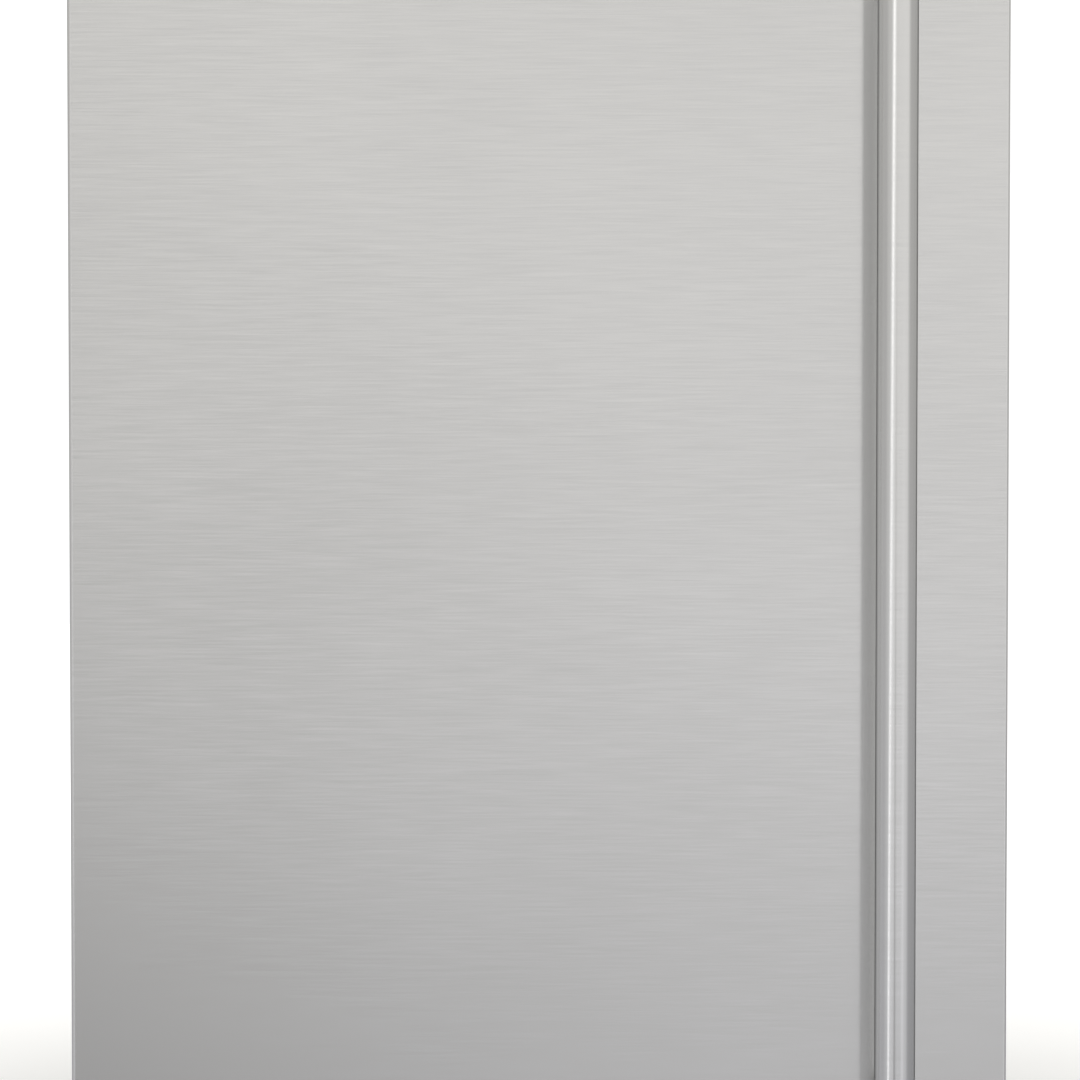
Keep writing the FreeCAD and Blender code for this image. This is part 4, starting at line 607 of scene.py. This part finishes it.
class MakeGasket(bpy.types.Operator):
    """Bellows gasket, mitred at its four corners"""
    bl_idname = "refrigerator.make_gasket"
    bl_label = "Make Gasket"

    def execute(self, context):
        low, high = (np.array(corner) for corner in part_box("door_gasket"))
        depth = high[1] - low[1]
        # inset from the outer edge and distance from the door, in millimetres
        outline = smooth_loop([
            (0.3, 0), (17.7, 0), (17.9, 1.0), (13.6, 2.0), (12.6, 2.9), (15.6, 3.9), (15.6, 4.7),
            (12.8, 5.5), (16.8, 6.2), (17.3, 7.6), (17.0, 9.7), (12.0, 9.45), (6.0, 9.45), (1.0, 9.7),
            (0.7, 7.6), (1.2, 6.2), (5.2, 5.5), (2.4, 4.7), (2.4, 3.9), (5.4, 2.9), (4.4, 2.0),
            (0.1, 1.0)])
        inset = outline[:, 0] * MM
        y = low[1] + np.clip(outline[:, 1] * MM, 0, depth)
        # one column of the profile at each corner, so the straights meet on the mitre line
        corners = []
        for left, bottom in ((True, True), (False, True), (False, False), (True, False)):
            x = low[0] + inset if left else high[0] - inset
            z = low[2] + inset if bottom else high[2] - inset
            corners.append(np.stack([x, y, z], -1))
        grid = np.stack(corners + corners[:1], 0)
        vinyl = extruded_vinyl(context.scene.refrigerator_finish.gasket)
        make_piece("bellows_gasket", [shell(grid, wrap=True)], "door", vinyl,
                   ("door_gasket",), smooth=50)
        return {"FINISHED"}


class MakeCoils(bpy.types.Operator):
    """Thin fins and the copper tube of both coils"""
    bl_idname = "refrigerator.make_coils"
    bl_label = "Make Coils"

    def execute(self, context):
        sizes = context.scene.refrigerator_sizes
        fins_metal, tube_metal = rolled_aluminium(), drawn_copper()
        for node, pitch in (("evaporator_coil", sizes.fin_pitch_cold),
                            ("condenser_coil", sizes.fin_pitch_warm)):
            low, high = (np.array(corner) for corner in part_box(node))
            left, right = low[0] + BEND_REACH, high[0] - BEND_REACH
            centre = np.array([(left + right) / 2, (low[1] + high[1]) / 2, (low[2] + high[2]) / 2])
            name = node.replace("_coil", "")
            one = self.fin(low, high, sizes.fin_thickness)
            places = np.arange(left, right, pitch)
            offsets = np.stack([places, 0 * places, 0 * places], -1)
            make_piece(f"{name}_fins", [repeated(one, offsets)], "cabinet", fins_metal,
                       (node,), smooth=60)
            half = (right - left) / 2 + 6 * MM
            path = serpentine(centre, half, 25 * MM, 8)
            make_piece(f"{name}_tube", [shell(tube(path, COIL_TUBE, (0, 1, 0)), wrap=True, lids=True)],
                       "cabinet", tube_metal, (node,))
        return {"FINISHED"}

    @staticmethod
    def fin(low, high, thickness):
        """One thin fin, whose section in XZ goes along Y: x = ripple * sin(2 turns of y)."""
        y = np.linspace(low[1], high[1], 9)[:, None]
        ripple = 0.35 * MM * np.sin(np.linspace(0, 2 * TURN, 9))[:, None]
        x = ripple + np.array([0, thickness, thickness, 0])
        z = np.array([low[2], low[2], high[2], high[2]])
        grid = np.stack([x, y + 0 * x, z + 0 * x], -1)
        return shell(grid, wrap=True, lids=True)


class MakeFans(bpy.types.Operator):
    """Hubs and twisted blades of both fans"""
    bl_idname = "refrigerator.make_fans"
    bl_label = "Make Fans"

    def execute(self, context):
        plastic = moulded_plastic("black_glass_filled_nylon", linear("#17181A"), linear("#26282B"),
                                  0.45, 0.8 * MM)
        for node, hub, thick in (("evaporator_fan", 14, 12), ("condenser_fan", 18, 18)):
            low, high = (np.array(corner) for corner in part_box(node))
            joint = next(j for j in frame["joints"] if j["child"] == node)
            axis = np.array(joint["pos_m"])
            radius = (high[0] - low[0]) / 2 - 0.3 * MM
            end = high[1] - axis[1]
            h, t = hub * MM, thick * MM / 2
            profile = [(0, -t), (h * 0.6, -t), (h * 0.88, -t + 1.2 * MM), (h, -t + 3 * MM), (h, t),
                       (2.5 * MM, t), (2.5 * MM, end), (0, end)]
            shells = [shell(turned(profile, axis, "Y", 48), wrap=True)]
            shells += [shell(self.blade(axis, h, radius, TURN * k / 5), wrap=True, lids=True)
                       for k in range(5)]
            make_piece(f"{node}_rotor", shells, node, plastic, (node,), smooth=40)
        return {"FINISHED"}

    @staticmethod
    def blade(axis, hub, tip, start):
        """One blade, whose section turns and grows from hub to tip.

        Across the section, chord position c runs round a thin oval: c = cos a, thickness = sin a.
        The section is tilted by the pitch angle and wrapped on the cylinder of its radius:
        angle = start + sweep + c * chord * cos(pitch) / radius, depth = c * chord * sin(pitch) + camber.
        """
        span = np.linspace(0, 1, 16)[:, None]
        a = np.linspace(0, TURN, 28, endpoint=False)[None]
        radius = hub * 0.94 + (tip - hub * 0.94) * span
        chord = tip * (0.26 + 0.06 * np.sin(math.pi * span) + 0.03 * span)
        pitch = np.radians(38 - 14 * span)
        c = np.cos(a)
        skin = (1.1 - 0.4 * span) * MM * np.sin(a)
        camber = tip * 0.035 * (1 - c ** 2)
        along = c * chord * np.cos(pitch) - (skin + camber) * np.sin(pitch)
        depth = c * chord * np.sin(pitch) * 0.8 + (skin + camber) * np.cos(pitch)
        angle = start + 0.35 * span ** 2 + along / radius
        depth = depth + 0 * radius
        return np.stack([axis[0] + radius * np.sin(angle), axis[1] + depth,
                         axis[2] + radius * np.cos(angle)], -1)


class MakeFeet(bpy.types.Operator):
    """Ribbed pads, hexagons and threaded studs of the levelling feet"""
    bl_idname = "refrigerator.make_feet"
    bl_label = "Make Levelling Feet"

    def execute(self, context):
        plastic = moulded_plastic("black_glass_filled_pad", linear("#141517"), linear("#202225"),
                                  0.55, 0.7 * MM)
        steel = zinc_plated_steel()
        pitch = context.scene.refrigerator_sizes.thread_pitch
        for node in (n for n in frame["nodes"] if n.startswith("foot_") and n != "foot_nuts"):
            low, high = (np.array(corner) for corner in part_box(node))
            centre = np.array([(low[0] + high[0]) / 2, (low[1] + high[1]) / 2, low[2]])
            pad = [shell(self.pad(centre), wrap=True), shell(self.hexagon(centre), wrap=True)]
            make_piece(f"{node}_pad", pad, node, plastic, (node,))
            top = high[2] - low[2]
            make_piece(f"{node}_stud", [shell(self.thread(centre, 11 * MM, top, pitch), wrap=True)],
                       node, steel, (node,), smooth=25)
        return {"FINISHED"}

    @staticmethod
    def pad(centre):
        """Turned pad with 20 grip ribs: radius = profile - 0.5 mm * |sin 10a|, on its flank only."""
        profile = np.array([(0, 0), (16.5, 0), (18.4, 0.4), (19, 1.4), (18.6, 2.6), (17.4, 6.2),
                            (16.4, 7), (0, 7)]) * MM
        ribs = np.array([0, 0, 0, 0.4, 1, 1, 0, 0])
        angle = np.linspace(0, TURN, 160, endpoint=False)
        radius = profile[:, 0, None] - 0.5 * MM * ribs[:, None] * np.abs(np.sin(10 * angle))
        z = profile[:, 1, None] + 0 * angle
        return np.stack([radius * np.cos(angle), radius * np.sin(angle), z], -1) + centre

    @staticmethod
    def hexagon(centre):
        """Hexagonal boss: radius = flat / cos(angle within a side), cut off at the round corner."""
        angle = np.linspace(0, TURN, 96, endpoint=False)
        flat = 9.4 * MM
        side = flat / np.cos((angle % (TURN / 6)) - TURN / 12)
        rows = [(0.0, 6.5), (1.0, 6.5), (1.0, 11.2), (0.94, 12), (0.0, 12)]
        grid = []
        for share, z in rows:
            radius = np.minimum(side, flat * 1.13) * share
            grid.append(np.stack([radius * np.cos(angle), radius * np.sin(angle),
                                  np.full_like(angle, z * MM)], -1))
        return np.stack(grid) + centre

    @staticmethod
    def thread(centre, start, end, pitch):
        """Screw thread: radius = core + depth * |sawtooth(z / pitch - a / turn)|, faded at both ends."""
        z = np.linspace(start, end, int((end - start) / pitch * 8))[:, None]
        angle = np.linspace(0, TURN, 40, endpoint=False)[None]
        wave = np.abs(2 * ((z / pitch - angle / TURN) % 1) - 1)
        fade = np.clip((end - z) / (1.5 * MM), 0, 1)
        radius = (4.1 + 0.88 * wave * fade) * MM
        radius[0], radius[-1] = 0, 0
        return np.stack([radius * np.cos(angle), radius * np.sin(angle), z + 0 * angle], -1) + centre


class MakeKnob(bpy.types.Operator):
    """Fluted thermostat knob with its pointer, and the printed dial round it"""
    bl_idname = "refrigerator.make_knob"
    bl_label = "Make Knob and Dial"

    def execute(self, context):
        low, high = (np.array(corner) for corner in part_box("thermostat_knob"))
        joint = next(j for j in frame["joints"] if j["child"] == "thermostat_knob")
        axis = np.array([joint["pos_m"][0], 0, joint["pos_m"][2]])
        front, rear, seat = low[1], high[1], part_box("control_housing")[0][1]
        grey = moulded_plastic("grey_moulded_abs", linear("#53575B"), linear("#62676B"), 0.38, 0.9 * MM)
        face = seat + COLLAR
        flutes = context.scene.refrigerator_sizes.knob_flutes
        grid = self.grip(axis, front + 0.6 * MM, face, rear, flutes)
        make_piece("fluted_knob", [shell(grid, wrap=True)], "thermostat_knob", grey,
                   ("thermostat_knob",), smooth=35)
        ink = printed_ink("white_pad_print", linear("#E4E4E0"))
        x, z = axis[0], axis[2]
        bar = smooth_loop([(-0.6, 2), (0.6, 2), (0.6, 10.5), (-0.6, 10.5)], 1) * MM
        rows = [np.column_stack([x + bar[:, 0], np.full(len(bar), y), z + bar[:, 1]])
                for y in (front + 0.9 * MM, front + 0.35 * MM)]
        make_piece("knob_pointer", [shell(np.stack(rows), wrap=True, lids=True)], "thermostat_knob",
                   ink)
        dark = printed_ink("grey_pad_print", linear("#3A3D40"))
        make_piece("dial_print", self.dial(axis, face - 0.1 * MM), "cabinet", dark)
        return {"FINISHED"}

    @staticmethod
    def grip(axis, front, face, rear, flutes):
        """Fluted knob: radius = profile * (1 - 0.08 * cut * flute), flute = (0.5 - 0.5 cos na) ^ 0.7."""
        length = face - front
        rows = [(0, 0), (10.6, 0), (11.4, 0.5), (11.8, 1.4), (12.2, length / MM - 4.0),
                (12.6, length / MM - 3.2), (15.0, length / MM - 2.8), (15.8, length / MM - 2.2),
                (16.0, length / MM - 0.3), (3.0, length / MM - 0.3), (3.0, (rear - front) / MM),
                (0, (rear - front) / MM)]
        cut = np.array([0, 0.6, 1, 1, 1, 0.8, 0, 0, 0, 0, 0, 0])[:, None]
        profile = np.array(rows) * MM
        angle = np.linspace(0, TURN, flutes * 12, endpoint=False)
        flute = (0.5 - 0.5 * np.cos(flutes * angle)) ** 0.7
        radius = profile[:, 0, None] * (1 - 0.08 * cut * flute)
        depth = profile[:, 1, None] + 0 * angle
        return np.stack([axis[0] + radius * np.cos(angle), front + depth,
                         axis[2] + radius * np.sin(angle)], -1)

    @staticmethod
    def dial(axis, y):
        """Nine ticks on an arc: tick k stands at -135 + 270 k / 8 degrees from the top."""
        shells = []
        for k in range(9):
            a = math.radians(-135 + 270 * k / 8)
            out, side = np.array([math.sin(a), math.cos(a)]), np.array([math.cos(a), -math.sin(a)])
            r0, r1 = (16.6 * MM, 18.0 * MM)
            flat = np.array([out * r0 - side * 0.2 * MM, out * r0 + side * 0.2 * MM,
                             out * r1 + side * 0.2 * MM, out * r1 - side * 0.2 * MM])
            rows = [np.column_stack([axis[0] + flat[:, 0], np.full(4, y + dy), axis[2] + flat[:, 1]])
                    for dy in (0, 0.25 * MM)]
            shells.append(shell(np.stack(rows), wrap=True, lids=True))
        return shells


# Stage

class MakeStudio(bpy.types.Operator):
    """Paper floor, soft light from all round, and the camera in front of the door"""
    bl_idname = "refrigerator.make_studio"
    bl_label = "Make Studio"

    def execute(self, context):
        settings = context.scene.refrigerator_studio
        self.floor()
        self.sky(settings.sky)
        self.lamps()
        self.camera(context, settings)
        context.scene.view_settings.view_transform = "Standard"
        return {"FINISHED"}

    @staticmethod
    def floor():
        """A disc of 7 m: point = radius * (cos a, sin a), in rings."""
        radius = np.array([0, 0.5, 1.5, 4.0, 7.0])[:, None]
        angle = np.linspace(0, TURN, 64, endpoint=False)
        grid = np.stack([radius * np.cos(angle), radius * np.sin(angle), 0 * radius + 0 * angle], -1)
        floor = closed_mesh("paper_floor", [shell(grid, wrap=True)], studio_paper())
        floor.visible_glossy = False

    @staticmethod
    def sky(strength):
        """Light from all round as reflections show it, with dark places; the eye itself sees even white.

        level = strength * product of (1 - height * product of smooth steps along x, y or z).
        """
        world = bpy.data.worlds.new("studio")
        bpy.context.scene.world = world
        world.use_nodes = True
        tree = world.node_tree
        tree.nodes.clear()
        way = add(tree, "ShaderNodeTexCoord").outputs["Generated"]
        axes = add(tree, "ShaderNodeSeparateXYZ", {"Vector": way}).outputs
        dark_places = (
            (0.45, ("Z", -0.175, -0.349), ("Z", -0.95, -0.75)),  # a dark skirting all round
            # the floor in front and behind, then what stands at its left: a low part and a tall one
            (0.90, ("Z", -0.175, -0.349), ("Z", -0.75, -0.50), ("X", 0.60, 0.35), ("X", -0.60, -0.35)),
            (0.92, ("Z", -0.178, -0.196), ("X", 0.091, -0.136), ("X", -0.26, -0.15)),
            (0.29, ("Z", 0.07, -0.114), ("X", -0.078, -0.182), ("X", -0.26, -0.15)),
            (0.28, ("Z", 0.28, 0.62)),  # ceiling
            (0.32, ("Y", 0.10, 0.70)),  # the back of the room
            (0.24, ("X", -0.40, -0.60)),  # left wall
            (0.20, ("X", -0.80, -0.97)),  # its far end
            (0.40, ("X", 0.80, 0.99)),  # right wall's far end
            (0.30, ("X", 0.55, 0.80), ("Z", -0.02, -0.20)))  # low at the right
        level = strength
        for height, *steps in dark_places:
            place = -height
            for axis, start, end in steps:
                step = add(tree, "ShaderNodeMapRange", {
                    "Value": axes[axis], "From Min": start, "From Max": end},
                    interpolation_type="SMOOTHSTEP")
                place = add(tree, "ShaderNodeMath", {0: step, 1: place}, operation="MULTIPLY")
            rest = add(tree, "ShaderNodeMath", {0: 1.0, 1: place}, operation="ADD")
            level = add(tree, "ShaderNodeMath", {0: rest, 1: level}, operation="MULTIPLY")
        cool = add(tree, "ShaderNodeMapRange", {"Value": axes["Z"], "From Min": 0.05, "From Max": -0.25},
                   interpolation_type="SMOOTHSTEP")
        colour = add(tree, "ShaderNodeMix", {
            "Factor": cool, "A": (1.0, 0.984, 0.956, 1.0), "B": (1.0, 1.002, 1.068, 1.0)},
            data_type="RGBA")
        lit = add(tree, "ShaderNodeBackground", {"Color": colour, "Strength": level})
        seen = add(tree, "ShaderNodeBackground", {"Color": (1.0, 1.0, 1.0, 1.0), "Strength": 1.1})
        path = add(tree, "ShaderNodeLightPath").outputs["Is Camera Ray"]
        both = add(tree, "ShaderNodeMixShader", {0: path, 1: lit, 2: seen})
        add(tree, "ShaderNodeOutputWorld", {"Surface": both})

    @staticmethod
    def lamps():
        """A tall lamp at the left, for the line of light down the handle only, and a broad one above."""
        for name, size, place, turn, watts in (
                ("tall_lamp", (1.0, 6.0), (-2.75, -5.3, 0.9), (90, 36, -28), 12.0),
                ("overhead_lamp", (3.5, 3.5), (0.0, 0.3, 3.6), (0, 0, 0), 72.0)):
            lamp = bpy.data.lights.new(name, "AREA")
            lamp.shape, lamp.energy = "RECTANGLE", watts
            lamp.size, lamp.size_y = size
            placed = bpy.data.objects.new(name, lamp)
            placed.location = place
            placed.rotation_euler = [math.radians(a) for a in turn]
            placed.visible_camera = False
            # reflected, the broad lamp would burn the top out to white, and the tall one the door
            placed.visible_glossy = name == "tall_lamp"
            if name == "tall_lamp":
                placed.light_linking.receiver_collection = bpy.data.collections.new("lit_by_tall_lamp")
                for node in ("handle_bar", "handle_end_caps", "handle_posts"):
                    placed.light_linking.receiver_collection.objects.link(frame["nodes"][node])
            bpy.context.scene.collection.objects.link(placed)

    @staticmethod
    def camera(context, settings):
        """The camera stands back from its aim, along a line that rises by the tilt."""
        data = bpy.data.cameras.new("camera")
        data.sensor_width, data.lens = 36.0, settings.lens
        data.clip_start, data.clip_end = 0.05, 50.0
        camera = bpy.data.objects.new("camera", data)
        back = np.array([0, -math.cos(settings.tilt), math.sin(settings.tilt)])
        camera.location = np.array(settings.aim) + settings.distance * back
        camera.rotation_euler = (math.pi / 2 - settings.tilt, 0, 0)
        context.scene.collection.objects.link(camera)
        context.scene.camera = camera


class RefrigeratorPanel(bpy.types.Panel):
    """All the steps, in order"""
    bl_idname = "VIEW3D_PT_refrigerator"
    bl_label = "Refrigerator"
    bl_space_type = "VIEW_3D"
    bl_region_type = "UI"
    bl_category = "Refrigerator"

    def draw(self, context):
        for group in (context.scene.refrigerator_finish, context.scene.refrigerator_sizes,
                      context.scene.refrigerator_studio):
            for name in group.__annotations__:
                self.layout.prop(group, name)
        for step in STEPS:
            self.layout.operator(step.bl_idname)


STEPS = (FinishSheetMetal, FinishPlastics, FinishRefrigeration, MakeGasket, MakeCoils, MakeFans,
         MakeFeet, MakeKnob, MakeStudio)
CLASSES = (RefrigeratorFinish, RefrigeratorSizes, StudioSettings) + STEPS + (RefrigeratorPanel,)


def register():
    for cls in CLASSES:
        bpy.utils.register_class(cls)
    bpy.types.Scene.refrigerator_finish = PointerProperty(type=RefrigeratorFinish)
    bpy.types.Scene.refrigerator_sizes = PointerProperty(type=RefrigeratorSizes)
    bpy.types.Scene.refrigerator_studio = PointerProperty(type=StudioSettings)


def unregister():
    del bpy.types.Scene.refrigerator_studio
    del bpy.types.Scene.refrigerator_sizes
    del bpy.types.Scene.refrigerator_finish
    for cls in reversed(CLASSES):
        bpy.utils.unregister_class(cls)


def main():
    register()
    for step in STEPS:
        group, name = step.bl_idname.split(".")
        getattr(getattr(bpy.ops, group), name)()


if __name__ == "__main__":
    main()
